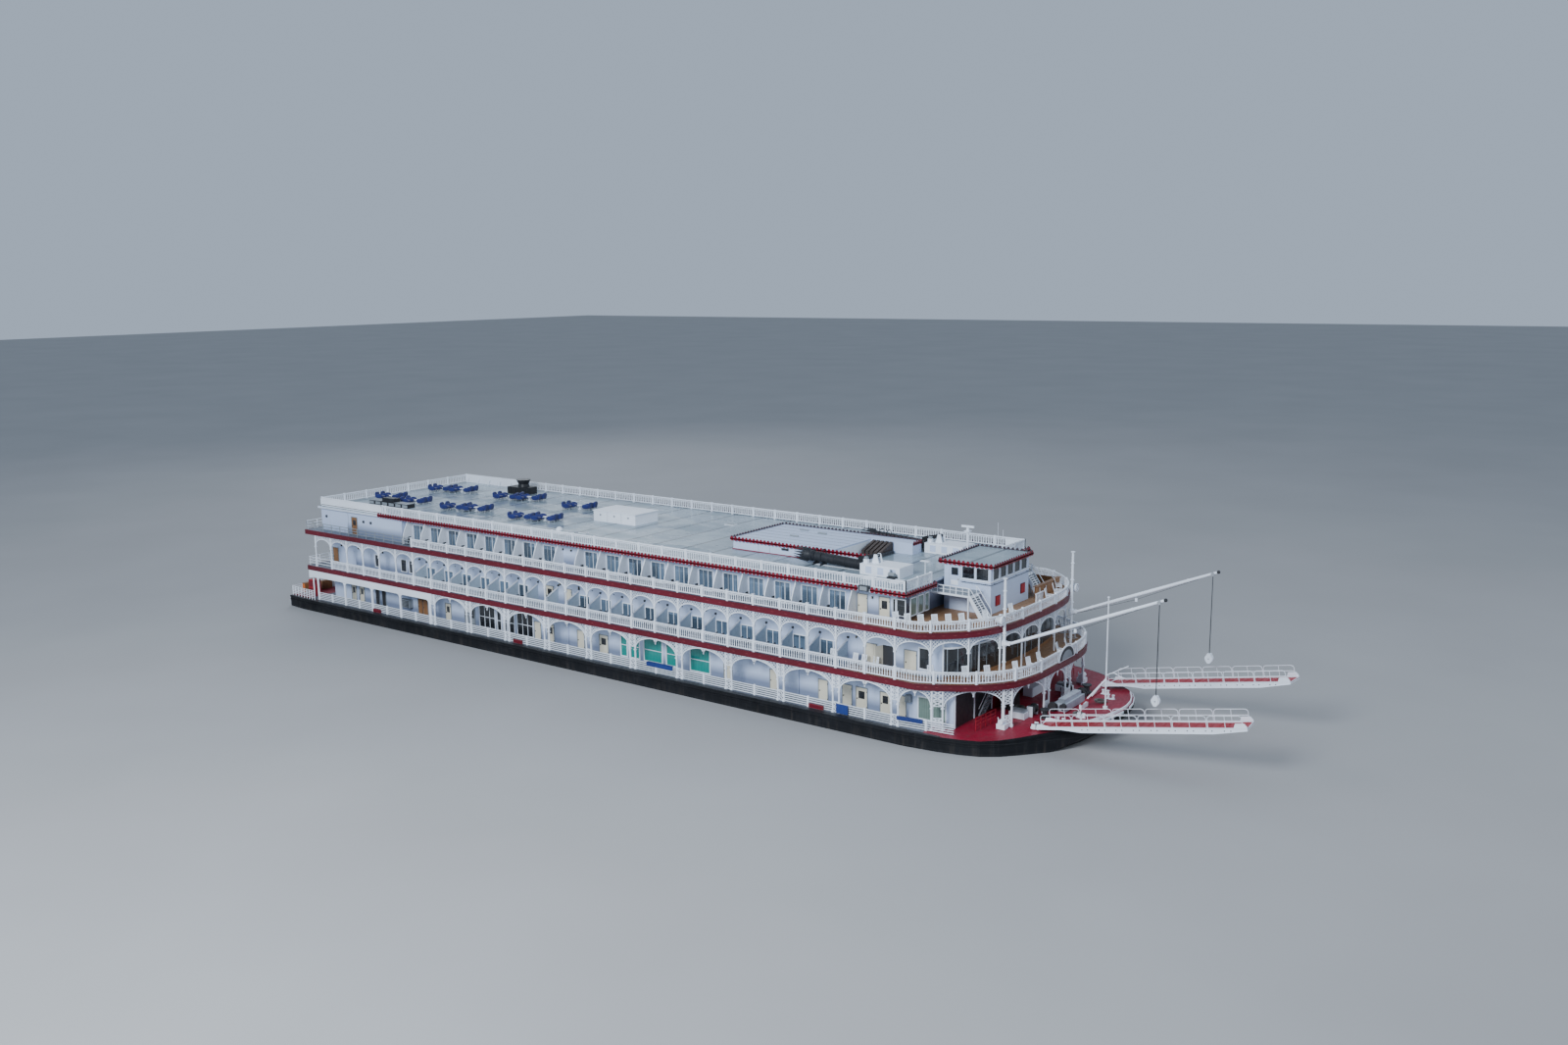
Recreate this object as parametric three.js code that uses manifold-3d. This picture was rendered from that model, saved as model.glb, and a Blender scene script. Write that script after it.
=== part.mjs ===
// Stern-wheel river passenger steamer, built as a 1:10 scale model.
// Millimetres. +X is the bow, +Y is port, +Z is up.
// Origin: centre of the flat bottom of the hull, on the centreline, amidships.
import * as THREE from 'three';
import { mergeVertices } from 'three/addons/utils/BufferGeometryUtils.js';
import Module from 'manifold-3d';

const wasm = await Module();
wasm.setup();

// ---------------------------------------------------------------- sizes
const GAP = 0.4;            // air left between touching pieces
const BAY = 289;            // spacing of the side columns
const X0 = -4375;           // aftmost side column
const BAYS = 27;            // bays between the first and the last column of the straight side
const HALF = 1197;          // half width over the rails
const GUARD = 1262;         // half width of the hull and the main deck
const Z_MAIN = 337;         // main deck, top
const Z_2 = 729;            // second deck, top
const Z_3 = 1149;           // third deck, top
const Z_ROOF = 1424;        // roof, top
const BAND = 26;            // thickness of the edge band of a deck
const X_AFT = -4535;        // aft edge of the upper decks
const X_STERN = -4870;      // aft ends of the hull beside the wheel
const WALL = 1000;          // half width of the cabins
const SCREEN = 16;          // thickness of the side screens
const RAIL_H = 104;         // height of the rails
const RAIL_T = 8;           // thickness of a rail
const ROOF_HALF = 1110;     // half width of the roof
const ROOF_RAIL = 1063;     // half width of the rail on the roof
const ROOF_FWD = 3482;      // front edge of the roof
const X_PANEL = -3270;      // forward end of the bare panels on the roof
const WELL = 620;           // half width of the wheel well
const WHEEL = { x: -4905, z: 400, r: 250, half: 560, arms: 12 };
const RUDDER = { x: -4775, y: 900 };
const MAST = { x: 4127, y: 640, r: 13, top: 1555, gooseneck: 1019 };
const BOOM = { heelX: 50, tipX: 1305, tipY: 55, tipZ: 520 };   // from the mast axis at the gooseneck
const STAGE = { x: 4440, y: 690, pin: 402, length: 1690, half: 98, rise: { starboard: 0.165, port: 0.2018 }, yaw: 0.0755 };
const FALLS = { back: 45, r: 34, half: 20, z: { starboard: 745, port: 800 } };   // hook blocks: distance from the boom's tip, sheave, height
const STACK = { y: 545, z: 1474, r: 44, tilt: 2.8, length: 733, heel: 2722, hingeX: 2850, hingeZ: 1578 };   // folded, the crown lies a little higher
const LANDING = 600;        // half width over the landings beside the pilothouse
const PILOT = { x0: 3400, x1: 3845, half: 350, floor: 1345, sill: 1432, head: 1538, top: 1545 };
const CAPSTAN = { x: 4392, y: 410 };
const X_NOSE = 4240;        // aft edge of the foredeck's own plate
const HOUSE = { x0: 1150, bay: 2262, x1: 2712, half: 412, block: 270, top: 1516 };    // low house on the roof, open bay at its fore end

// ---------------------------------------------------------------- materials
const paint = (color, roughness = 0.55, metalness = 0) =>
  new THREE.MeshStandardMaterial({ color, roughness, metalness });
const WHITE = paint(0xe6e9ec);
const RED = paint(0x8c1420);
const DECKRED = paint(0xa51c2c);
const BLACK = paint(0x16181c, 0.6);
const GREY = paint(0xb6c3c6, 0.35);
const DARK = paint(0x2a2c30, 0.6);
const WOOD = paint(0x7a4c28, 0.65);
const STEEL = paint(0xc9ced2, 0.4, 0.3);

// ---------------------------------------------------------------- shape helpers
function toSolid(geometry) {
  const g = geometry.clone();
  g.deleteAttribute('normal');
  if (g.getAttribute('uv')) g.deleteAttribute('uv');
  const m = mergeVertices(g, 1e-3);
  return new wasm.Manifold(new wasm.Mesh({
    numProp: 3,
    vertProperties: new Float32Array(m.getAttribute('position').array),
    triVerts: new Uint32Array(m.getIndex().array),
  }));
}
function fromSolid(solid) {
  const m = solid.getMesh();
  const g = new THREE.BufferGeometry();
  g.setAttribute('position', new THREE.BufferAttribute(new Float32Array(m.vertProperties), 3));
  g.setIndex(new THREE.BufferAttribute(new Uint32Array(m.triVerts), 1));
  g.computeVertexNormals();
  return g;
}
const join = (...list) => list.flat().reduce((a, b) => a.add(b));
const cut = (base, ...list) => list.flat().reduce((a, b) => a.subtract(b), base);

// box by its limits
function box(x0, x1, y0, y1, z0, z1) {
  const g = new THREE.BoxGeometry(x1 - x0, y1 - y0, z1 - z0);
  g.translate((x0 + x1) / 2, (y0 + y1) / 2, (z0 + z1) / 2);
  return toSolid(g);
}
// plan outline [[x, y], ...] raised from z0 to z1
function prism(points, z0, z1) {
  const shape = new THREE.Shape(points.map(([x, y]) => new THREE.Vector2(x, y)));
  const g = new THREE.ExtrudeGeometry(shape, { depth: z1 - z0, bevelEnabled: false });
  g.translate(0, 0, z0);
  return toSolid(g);
}
// side outline [[x, z], ...] with holes, as thick as y0 to y1
function panel(points, holes, y0, y1) {
  const shape = new THREE.Shape(points.map(([x, z]) => new THREE.Vector2(x, z)));
  const g = new THREE.ExtrudeGeometry(shape, { depth: y1 - y0, bevelEnabled: false });
  g.rotateX(Math.PI / 2);
  g.translate(0, y1, 0);
  return cut(toSolid(g), holes.map((hole) => panel(hole, [], y0 - 2, y1 + 2)));
}
// round bar between two points
function bar(a, b, r0, r1 = r0, sides = 8) {
  const p = new THREE.Vector3(...a);
  const q = new THREE.Vector3(...b);
  const d = q.clone().sub(p);
  const g = new THREE.CylinderGeometry(r1, r0, d.length(), sides);
  g.rotateX(Math.PI / 2);
  g.applyQuaternion(new THREE.Quaternion().setFromUnitVectors(new THREE.Vector3(0, 0, 1), d.clone().normalize()));
  g.translate((p.x + q.x) / 2, (p.y + q.y) / 2, (p.z + q.z) / 2);
  return toSolid(g);
}
// solid of revolution about Z, profile [[r, z], ...]
function turned(profile, x, y, sides = 16) {
  const g = new THREE.LatheGeometry(profile.map(([r, z]) => new THREE.Vector2(r, z)), sides);
  g.rotateX(Math.PI / 2);
  g.translate(x, y, 0);
  return toSolid(g);
}
// skin through equal rings of 3-D points, closed at both ends
function loft(rings) {
  const n = rings[0].length;
  const position = rings.flat(2);
  const index = [];
  for (let i = 0; i < rings.length - 1; i++) {
    for (let j = 0; j < n; j++) {
      const a = i * n + j;
      const b = i * n + ((j + 1) % n);
      index.push(a, b, b + n, a, b + n, a + n);
    }
  }
  const last = (rings.length - 1) * n;
  for (let j = 1; j < n - 1; j++) {
    index.push(0, j + 1, j);
    index.push(last, last + j, last + j + 1);
  }
  let solid = new wasm.Manifold(new wasm.Mesh({
    numProp: 3, vertProperties: new Float32Array(position), triVerts: new Uint32Array(index),
  }));
  if (solid.volume() < 0) {
    const flipped = [];
    for (let i = 0; i < index.length; i += 3) flipped.push(index[i], index[i + 2], index[i + 1]);
    solid = new wasm.Manifold(new wasm.Mesh({
      numProp: 3, vertProperties: new Float32Array(position), triVerts: new Uint32Array(flipped),
    }));
  }
  return solid;
}
// straight rail along X with open bays: [x0, x1] cut into n bays, between y0 and y1, from z0 to z1
function rail(x0, x1, n, y0, y1, z0, z1, post = 6) {
  const holes = [];
  for (let k = 0; k < n; k++) {
    const a = x0 + ((x1 - x0) * k) / n + post;
    const b = x0 + ((x1 - x0) * (k + 1)) / n - post;
    holes.push([[a, z0 + 14], [b, z0 + 14], [b, z1 - 10], [a, z1 - 10]]);
  }
  return panel([[x0, z0], [x1, z0], [x1, z1], [x0, z1]], holes, y0, y1);
}
// the same rail laid across the vessel at x, from y0 to y1
function crossRail(x, y0, y1, n, z0, z1, t = 8, post = 6) {
  return rail(y0, y1, n, -t / 2, t / 2, z0, z1, post).rotate([0, 0, 90]).translate([x, 0, 0]);
}

// ---------------------------------------------------------------- outlines
const colX = (i) => X0 + BAY * i;
// front edge of a deck: x = BAY * (a + b u^2 + c u^4) + X0 with u = y / BAY
const front = ({ a, b, c }) => (y) => {
  const u = y / BAY;
  return BAY * (a + b * u * u + c * u ** 4) + X0;
};
const front2 = front({ a: 30.111, b: 0.0053, c: -0.00864 });
const front3 = front({ a: 29.463, b: -0.0086, c: -0.00545 });
// half outline of the bow at the main deck: [x, half width]
const BOW = [
  [3560, 1262], [3850, 1228], [4038, 1187], [4184, 1134], [4310, 1046], [4421, 928],
  [4527, 799], [4615, 700], [4700, 602], [4775, 490], [4840, 360], [4895, 200], [4920, 60],
];
const sheer = (x) => Z_MAIN + (x > 4150 ? 100 * ((x - 4150) / 770) ** 1.5 : 0);
// height of the main deck's top at x, straight between the stations of BOW
function deckZ(x) {
  for (let i = 1; i < BOW.length; i++) {
    if (x < BOW[i][0]) {
      const [a] = BOW[i - 1];
      const [b] = BOW[i];
      return x <= a ? sheer(a) : sheer(a) + ((sheer(b) - sheer(a)) * (x - a)) / (b - a);
    }
  }
  return sheer(x);
}

const PLINTH_Z = deckZ(STAGE.x + 37) + GAP;   // underside of the plinth on the foredeck

// deck outline with a curved front; half = half width, inset = distance from the edge
function deckOutline(f, aft, inset = 0, steps = 9) {
  const side = HALF - inset;
  const pts = [[aft, -side]];
  for (let k = -steps; k <= steps; k++) {
    const y = side * Math.sin((k / steps) * Math.PI / 2);
    pts.push([f(y * HALF / side) - inset, y]);
  }
  pts.push([aft, side]);
  return pts;
}

const group = new THREE.Group();
function part(name, solid, material, parent = group) {
  const mesh = new THREE.Mesh(fromSolid(solid), material);
  mesh.name = name;
  parent.add(mesh);
  return mesh;
}

const mirrored = (solid) => solid.mirror([0, 1, 0]);

// ---------------------------------------------------------------- hull and main deck
{
  // [x, half width at deck, half width of the bottom, height of the bottom]
  const sections = [
    [X_STERN, 1238, 1190, 160], [-4600, GUARD, 1200, 96], [-4100, GUARD, 1215, 0], [3000, GUARD, 1215, 0],
  ];
  // bottom of the bow at each station of BOW: [half width, height]
  const keel = [
    [1190, 0], [1110, 8], [1020, 22], [900, 46], [770, 72], [640, 104],
    [530, 140], [430, 176], [340, 218], [250, 262], [165, 308], [90, 350], [28, 376],
  ];
  BOW.forEach(([x, half], i) => sections.push([x, half, ...keel[i]]));
  const rings = sections.map(([x, b, c, zb]) => {
    const zt = sheer(x) - 20 - GAP;
    const zc = zb + Math.min(45, (zt - zb) * 0.4);
    return [[x, -b, zt], [x, -b, zc], [x, -c, zb], [x, c, zb], [x, b, zc], [x, b, zt]];
  });
  let hull = loft(rings);
  hull = cut(hull, box(X_STERN - 10, X_AFT - 5, -WELL, WELL, -10, 400));
  part('hull', hull, BLACK);

  const deckRings = [[X_STERN, 1238], [-4600, GUARD], ...BOW].map(([x, b]) => {
    const zt = sheer(x);
    return [[x, -b, zt], [x, -b, zt - 20], [x, b, zt - 20], [x, b, zt]];
  });
  // the deck in four plates: the long flat one, the rising foredeck, and one on each side of the wheel
  const deck = loft(deckRings);
  const slice = (x0, x1, y0 = -1400, y1 = 1400) => deck.intersect(box(x0, x1, y0, y1, 200, 600));
  part('main_deck', slice(X_AFT - 5, X_NOSE), DECKRED);
  part('foredeck', slice(X_NOSE + GAP, 5000), DECKRED);
  // each fantail carries the wheel's bearing beam at its inner edge
  const { x, z } = WHEEL;
  const y0 = WELL + 8;
  const beam = cut(
    panel([[-4600, Z_MAIN - 1], [X_STERN, Z_MAIN - 1], [x - 52, z - 46], [x - 52, z + 24], [x - 20, z + 48], [x + 30, z + 48], [-4600, z - 30]], [], y0, y0 + 50),
    bar([x, y0 - 5, z], [x, y0 + 55, z], 27, 27, 16),
  );
  const fantail = join(slice(X_STERN - 10, X_AFT - 5 - GAP, WELL, 1400), beam);
  part('fantail_starboard', mirrored(fantail), DECKRED);
  part('fantail_port', fantail, DECKRED);
}

// ---------------------------------------------------------------- decks
part('deck_2', cut(
  prism(deckOutline(front2, X_AFT), Z_2 - BAND, Z_2),
  [-1, 1].map((e) => bar([MAST.x, e * MAST.y, 600], [MAST.x, e * MAST.y, 800], MAST.r + 1.5, MAST.r + 1.5, 12)),
), RED);
part('deck_3', prism(deckOutline(front3, X_AFT), Z_3 - BAND, Z_3), RED);
{
  const x1 = PILOT.x0 - 14;
  part('roof', box(X0 - 20, x1, -ROOF_HALF, ROOF_HALF, Z_ROOF - 22, Z_ROOF), GREY);
  // the roof runs on forward beside the pilothouse landings
  part('roof_wing_starboard', box(x1 + GAP, ROOF_FWD, -ROOF_HALF, -LANDING - 20, Z_ROOF - 22, Z_ROOF), GREY);
  part('roof_wing_port', box(x1 + GAP, ROOF_FWD, LANDING + 20, ROOF_HALF, Z_ROOF - 22, Z_ROOF), GREY);
}

// ---------------------------------------------------------------- houses
part('main_house', box(-4330, 3870, -WALL, WALL, Z_MAIN + GAP, Z_2 - BAND - GAP), WHITE);
{
  // rounded front under the curved deck
  const pts = [[-4330, -WALL], [3740, -WALL]];
  for (let k = -6; k <= 6; k++) {
    const t = (k / 6) * Math.PI / 2;
    pts.push([3760 + 230 * Math.cos(t), WALL * 0.98 * Math.sin(t)]);
  }
  pts.push([3740, WALL], [-4330, WALL]);
  part('house_2', prism(pts, Z_2 + GAP, Z_3 - BAND - GAP), WHITE);
}
part('house_3', prism([
  [X0, -1080], [-2930, -1080], [-2930, -WALL], [3330, -WALL], [3330, WALL], [-2930, WALL], [-2930, 1080], [X0, 1080],
], Z_3 + GAP, Z_ROOF - 22 - GAP), WHITE);

// ---------------------------------------------------------------- side screens
// hole with a round head: half width w about x, from z0 to z1, rise of the head h
function arch(x, w, z0, z1, h, steps = 4) {
  const pts = [[x - w, z0], [x + w, z0]];
  for (let k = 0; k <= steps; k++) {
    const t = (k / steps) * Math.PI;
    pts.push([x + w * Math.cos(t), z1 - h + h * Math.sin(t)]);
  }
  return pts;
}
// second deck: one arch a bay, above a rail
{
  const holes = [];
  const xs = [];
  for (let i = 0; i < BAYS; i++) xs.push(colX(i) + BAY / 2);
  for (const x of xs) {
    const w = BAY / 2 - 9;
    holes.push(arch(x, w, Z_2 + RAIL_H, Z_3 - BAND - 40, 95));
    holes.push([[x - w, Z_2 + 14], [x + w, Z_2 + 14], [x + w, Z_2 + RAIL_H - 10], [x - w, Z_2 + RAIL_H - 10]]);
  }
  const a = colX(0) - 9;
  const b = colX(BAYS) + 9;
  const s = panel([[a, Z_2 + GAP], [b, Z_2 + GAP], [b, Z_3 - BAND - GAP], [a, Z_3 - BAND - GAP]], holes, -HALF, -HALF + SCREEN);
  part('screen_2_starboard', s, WHITE);
  part('screen_2_port', mirrored(s), WHITE);
}
// third deck: a rail only
{
  const s = rail(colX(0) - 6, colX(BAYS) + 6, 9, -HALF, -HALF + RAIL_T, Z_3 + GAP, Z_3 + RAIL_H);
  part('rail_3_starboard', s, WHITE);
  part('rail_3_port', mirrored(s), WHITE);
}
// main deck: closed fascia with flat openings aft, wide arches between pairs of columns forward
{
  const z1 = Z_2 - BAND - GAP;
  const railTop = Z_MAIN + 108;
  const holes = [];
  // aft openings: [first column, last column] in bays
  for (const [i, j] of [[0, 1.75], [1.75, 3.45], [3.45, 5.15], [5.15, 6.85]]) {
    const a = colX(i) + 14;
    const b = colX(j) - 14;
    const c = 34;
    holes.push([[a, railTop], [b, railTop], [b, z1 - 46 - c], [b - c, z1 - 46], [a + c, z1 - 46], [a, z1 - 46 - c]]);
    holes.push([[a, Z_MAIN + 14], [b, Z_MAIN + 14], [b, railTop - 12], [a, railTop - 12]]);
  }
  for (let i = 7; i < BAYS - 1; i += 2) {
    const x = colX(i + 1);
    const w = BAY - 38;
    holes.push(arch(x, w, railTop, z1 - 26, 120, 6));
    holes.push([[x - w, Z_MAIN + 14], [x + w, Z_MAIN + 14], [x + w, railTop - 12], [x - w, railTop - 12]]);
  }
  const a = colX(0) - 9;
  const b = colX(BAYS) + 38;
  const s = panel([[a, Z_MAIN + GAP], [b, Z_MAIN + GAP], [b, z1], [a, z1]], holes, -HALF, -HALF + SCREEN);
  part('screen_main_starboard', s, WHITE);
  part('screen_main_port', mirrored(s), WHITE);
}

// ---------------------------------------------------------------- curved fronts
// wall along a plan line [[x, y], ...], thickness t to the inside, from z0 to z1
function wallAlong(line, t, z0, z1) {
  const n = line.length;
  const normal = line.map((p, i) => {
    const a = line[Math.max(0, i - 1)];
    const b = line[Math.min(n - 1, i + 1)];
    const d = new THREE.Vector2(b[0] - a[0], b[1] - a[1]).normalize();
    return [-d.y, d.x];
  });
  const inner = line.map(([x, y], i) => [x + normal[i][0] * t, y + normal[i][1] * t]);
  return prism([...line, ...inner.reverse()], z0, z1);
}
function bowLine(f, startX, inset, count = 7) {
  const side = HALF - inset;
  const pts = [];
  for (let k = -count; k <= count; k++) {
    const y = side * Math.sin((k / count) * Math.PI / 2);
    pts.push([Math.max(f(y * HALF / side) - inset, startX), y]);
  }
  return [[startX, -side], ...pts.filter(([x]) => x > startX + 1), [startX, side]];
}
{
  const start = colX(BAYS) + 12;
  const edge = bowLine(front2, start, 6);
  const under = bowLine(front3, start, 8);
  const solids = [
    wallAlong(edge, RAIL_T, Z_2 + RAIL_H - 10, Z_2 + RAIL_H),
    wallAlong(edge, RAIL_T, Z_2 + GAP, Z_2 + 14),
    wallAlong(under, 10, Z_3 - BAND - 52, Z_3 - BAND - GAP),
  ];
  // rail posts and columns, by their distance from the centreline
  for (const e of [-1, 1]) {
    for (const y of [1080, 900, 660, 400, 135]) {
      const x = front2(y) - 11;
      solids.push(box(x - 6, x + 6, e * y - 6, e * y + 6, Z_2 + GAP, Z_2 + RAIL_H));
    }
    for (const y of [1080, 880, 640, 380, 125]) {
      const x = front3(y) - 15;
      solids.push(box(x - 8, x + 8, e * y - 8, e * y + 8, Z_2 + GAP, Z_3 - BAND - GAP));
    }
    solids.push(box(start, start + 12, e > 0 ? HALF - 19 : -HALF + 5, e > 0 ? HALF - 5 : -HALF + 19, Z_2 + GAP, Z_3 - BAND - GAP));
  }
  part('bow_screen_2', join(solids), WHITE);
}
{
  const line = bowLine(front3, colX(BAYS) + 9, 4);
  const solids = [
    wallAlong(line, RAIL_T, Z_3 + RAIL_H - 10, Z_3 + RAIL_H),
    wallAlong(line, RAIL_T, Z_3 + GAP, Z_3 + 14),
  ];
  for (const y of [1110, 960, 720, 440, 150]) {
    for (const s of [-1, 1]) {
      const x = front3(y) - 8;
      solids.push(box(x - 6, x + 6, s * y - 6, s * y + 6, Z_3 + GAP, Z_3 + RAIL_H));
    }
  }
  part('bow_rail_3', join(solids), WHITE);
}
{
  // columns round the foredeck under the second deck, joined by a head: [x, y] of each pair
  const z1 = Z_2 - BAND - GAP;
  const line = bowLine(front2, colX(BAYS) + 45, 14);
  const solids = [wallAlong(line, 12, z1 - 7, z1)];
  const pairs = [[3960, 1130, 4045, 1090], [4262, 760, 4310, 690], [4372, 250, 4378, 160]];
  for (const [xa, ya, xb, yb] of pairs) {
    for (const s of [-1, 1]) {
      for (const [x, y] of [[xa, ya], [xb, yb]]) {
        const px = Math.min(x, front2(y) - 22);
        solids.push(box(px - 9, px + 9, s * y - 9, s * y + 9, deckZ(px + 9) + GAP, z1 - 1));
      }
    }
  }
  part('bow_columns', join(solids), WHITE);
}

// ---------------------------------------------------------------- stern rails
{
  const y = HALF - SCREEN - 6;
  const z = (zd) => crossRail(X_AFT + 12, -y, y, 9, zd + GAP, zd + RAIL_H);
  part('stern_rail_2', z(Z_2), WHITE);
  part('stern_rail_3', z(Z_3), WHITE);
}

// ---------------------------------------------------------------- roof
{
  const y = ROOF_RAIL;
  const x1 = ROOF_FWD - 30;
  const zt = Z_ROOF + 95;
  const z0 = Z_ROOF + GAP;
  const s = [crossRail(X0 + 6, -y - 1, y + 1, 7, z0 + 1, zt - 1)];
  for (const e of [-1, 1]) {
    s.push(rail(X_PANEL - 6, x1, 8, e * y - 4, e * y + 4, z0, zt));
    s.push(crossRail(x1 - 9, e > 0 ? LANDING + 50 : -y - 1, e > 0 ? y + 1 : -LANDING - 50, 2, z0 + 1, zt - 1));
  }
  // bare panels outside the rail at the stern end
  for (const e of [-1, 1]) s.push(box(X0 - 2, X_PANEL, e > 0 ? y - 7 : -y - 13, e > 0 ? y + 13 : 7 - y, Z_ROOF + GAP, zt + 4));
  part('roof_rail', join(s), WHITE);
}
{
  const { x0, bay, x1, half, block, top } = HOUSE;
  part('roof_house', join(
    box(x0, bay - 20, -half, half, Z_ROOF + GAP, top),
    box(x0 - 20, bay, -half - 16, half + 16, top - 1, top + 14),
    box(bay - 21, x1, -half - 16, -half + 14, Z_ROOF + GAP, top + 14),
    box(bay - 21, x1, block, half + 16, Z_ROOF + GAP, top + 14),
  ), WHITE);
}
part('funnel', join(
  box(-3230, -2910, 720, 900, Z_ROOF + GAP, Z_ROOF + 84),
  turned([[0, Z_ROOF + 80], [70, Z_ROOF + 80], [62, Z_ROOF + 120], [84, Z_ROOF + 168], [0, Z_ROOF + 168]], -3040, 810),
), DARK);
part('roof_counter', join(
  box(-4020, -3340, -680, -570, Z_ROOF + GAP, Z_ROOF + 44), box(-3800, -3590, -664, -574, Z_ROOF + 40, Z_ROOF + 84),
), DARK);
part('roof_locker', box(-1035, -440, -50, 300, Z_ROOF + GAP, Z_ROOF + 110), WHITE);

// ---------------------------------------------------------------- folding stacks
for (const [side, e] of [['starboard', -1], ['port', 1]]) {
  const y = e * STACK.y;
  const { hingeX: hx, hingeZ: hz, heel, length: L, r, z, tilt } = STACK;
  // casing with a pair of ears that carry the hinge, and the cradle that the folded stack lies over
  const ear = (dy) => panel([[hx - 34, Z_ROOF + 92], [hx + 34, Z_ROOF + 92], [hx + 14, hz + 14], [hx - 14, hz + 14]], [], y + dy - 5, y + dy + 5);
  part(`stack_casing_${side}`, join(
    box(2742, 3142, y - 112, y + 112, Z_ROOF + GAP, Z_ROOF + 93), ear(-30), ear(30),
    box(2196, 2204, y - 34, y + 34, Z_ROOF + GAP, Z_ROOF + 27), box(2276, 2284, y - 34, y + 34, Z_ROOF + GAP, Z_ROOF + 23),
    box(2190, 2744, y - 8, y + 8, Z_ROOF + GAP, Z_ROOF + 3),
  ), WHITE);
  // tube with its flared and feathered crown, and the arm to the hinge pin
  const tube = turned([[0, 0], [r, 0], [r, L - 190], [r + 5, L - 186], [r + 5, L - 165], [r + 18, L - 130], [r + 12, L], [0, L]], 0, 0, 12)
    .rotate([0, tilt - 90, 0]).translate([heel, y, z]);
  const arm = panel([[heel - 60, z + 20], [heel - 6, z + 30], [heel + 4, z + 52], [hx + 12, hz - 12], [hx + 12, hz + 12], [hx - 12, hz + 12], [heel - 60, z + 74]],
    [], y - 22, y + 22);
  const pin = bar([hx, y - 24.6, hz], [hx, y + 24.6, hz], 7);
  part(`stack_${side}`, join(tube, arm, pin), DARK);
}

// ---------------------------------------------------------------- pilothouse
{
  const { x0, x1, half, floor, sill, head, top } = PILOT;
  const t = 12;
  let body = box(x0, x1, -half, half, Z_3 + GAP, top);
  body = cut(body, box(x0 + t, x1 - t, -half + t, half - t, floor, top + 5));
  const side = (a, b, za = sill, zb = head) => [box(a, b, -half - 5, -half + t + 5, za, zb), box(a, b, half - t - 5, half + 5, za, zb)];
  const windows = [...side(x0 + 170, x0 + 292), ...side(x0 + 304, x0 + 425)];
  for (let k = -2; k <= 2; k++) windows.push(box(x1 - t - 5, x1 + 5, k * 128 - 55, k * 128 + 55, sill, head));
  for (let k = -1; k <= 1; k++) windows.push(box(x0 - 5, x0 + t + 5, k * 170 - 60, k * 170 + 60, sill + 20, head));
  const doors = side(x0 + 50, x0 + 150, floor + 2, top - 6);
  // steering stand and console on the floor inside
  const stand = [box(x1 - 90, x1 - 40, -150, 150, floor - 2, floor + 84), box(x1 - 130, x1 - 88, -22, 22, floor - 2, floor + 66)];
  part('pilothouse', join(cut(body, windows, doors), stand), WHITE);
  part('pilothouse_roof', prism([
    [x0 - 46, -half - 14], [x1 + 30, -half - 14], [x1 + 30, half + 14], [x0 - 46, half + 14],
  ], top + GAP, top + 20), GREY);
  for (const [name, e] of [['pilothouse_door_starboard', -1], ['pilothouse_door_port', 1]]) {
    const y = e * (half - t / 2);
    let leaf = box(x0 + 51, x0 + 149, y - 5, y + 5, floor + 3, top - 7);
    leaf = cut(leaf, box(x0 + 68, x0 + 134, y - 8, y + 8, sill + 17, head - 23));
    part(name, leaf, WHITE);
  }
}
for (const [side, e] of [['starboard', -1], ['port', 1]]) {
  // landing beside the pilothouse door, its post, and the stair down to the third deck
  const z = PILOT.floor;
  const y0 = PILOT.half + 1;
  const s = [box(3400, 3770, y0, LANDING - 15, z - 14, z), box(3752, 3764, 568, 580, Z_3 + GAP, z - 6)];
  const run = panel([[3768, z], [3768, z - 34], [3868, Z_3 + GAP], [3900, Z_3 + GAP]], [], 455, 580);
  s.push(run);
  s.push(box(3400, 3770, 575, 581, z + 60, z + 66));
  for (const x of [3402, 3520, 3640, 3758]) s.push(box(x, x + 7, 574, 582, z - 2, z + 66));
  const solid = join(s);
  part(`pilothouse_landing_${side}`, e > 0 ? solid : mirrored(solid), WHITE);
}

// ---------------------------------------------------------------- paddle wheel
{
  const { x, z, r, half, arms } = WHEEL;
  const s = [bar([x, -half - 122, z], [x, half + 122, z], 22, 22, 10)];
  for (const y of [-half, half]) {
    s.push(bar([x, y - 14, z], [x, y + 14, z], 46, 46, 10));
    for (let k = 0; k < arms; k++) {
      const a = (k / arms) * 2 * Math.PI;
      const arm = box(30, r - 6, y - 4, y + 4, -5, 5).rotate([0, (a * 180) / Math.PI, 0]).translate([x, 0, z]);
      s.push(arm);
    }
  }
  for (let k = 0; k < arms; k++) {
    const a = (k / arms) * 360;
    s.push(box(r - 62, r, -half - 20, half + 20, -4, 4).rotate([0, a, 0]).translate([x, 0, z]));
  }
  part('paddle_wheel', join(s), RED);
}

// ---------------------------------------------------------------- rudders
// one under each of the two hull ends beside the wheel
for (const [side, e] of [['starboard', -1], ['port', 1]]) {
  const y = e * RUDDER.y;
  part(`rudder_${side}`, join(
    panel([[-4890, 10], [-4735, 10], [-4725, 40], [-4725, 110], [-4890, 110]], [], y - 5, y + 5),
    bar([RUDDER.x, y, 50], [RUDDER.x, y, 134.8], 9, 9, 10),
  ), DECKRED);
}

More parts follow.
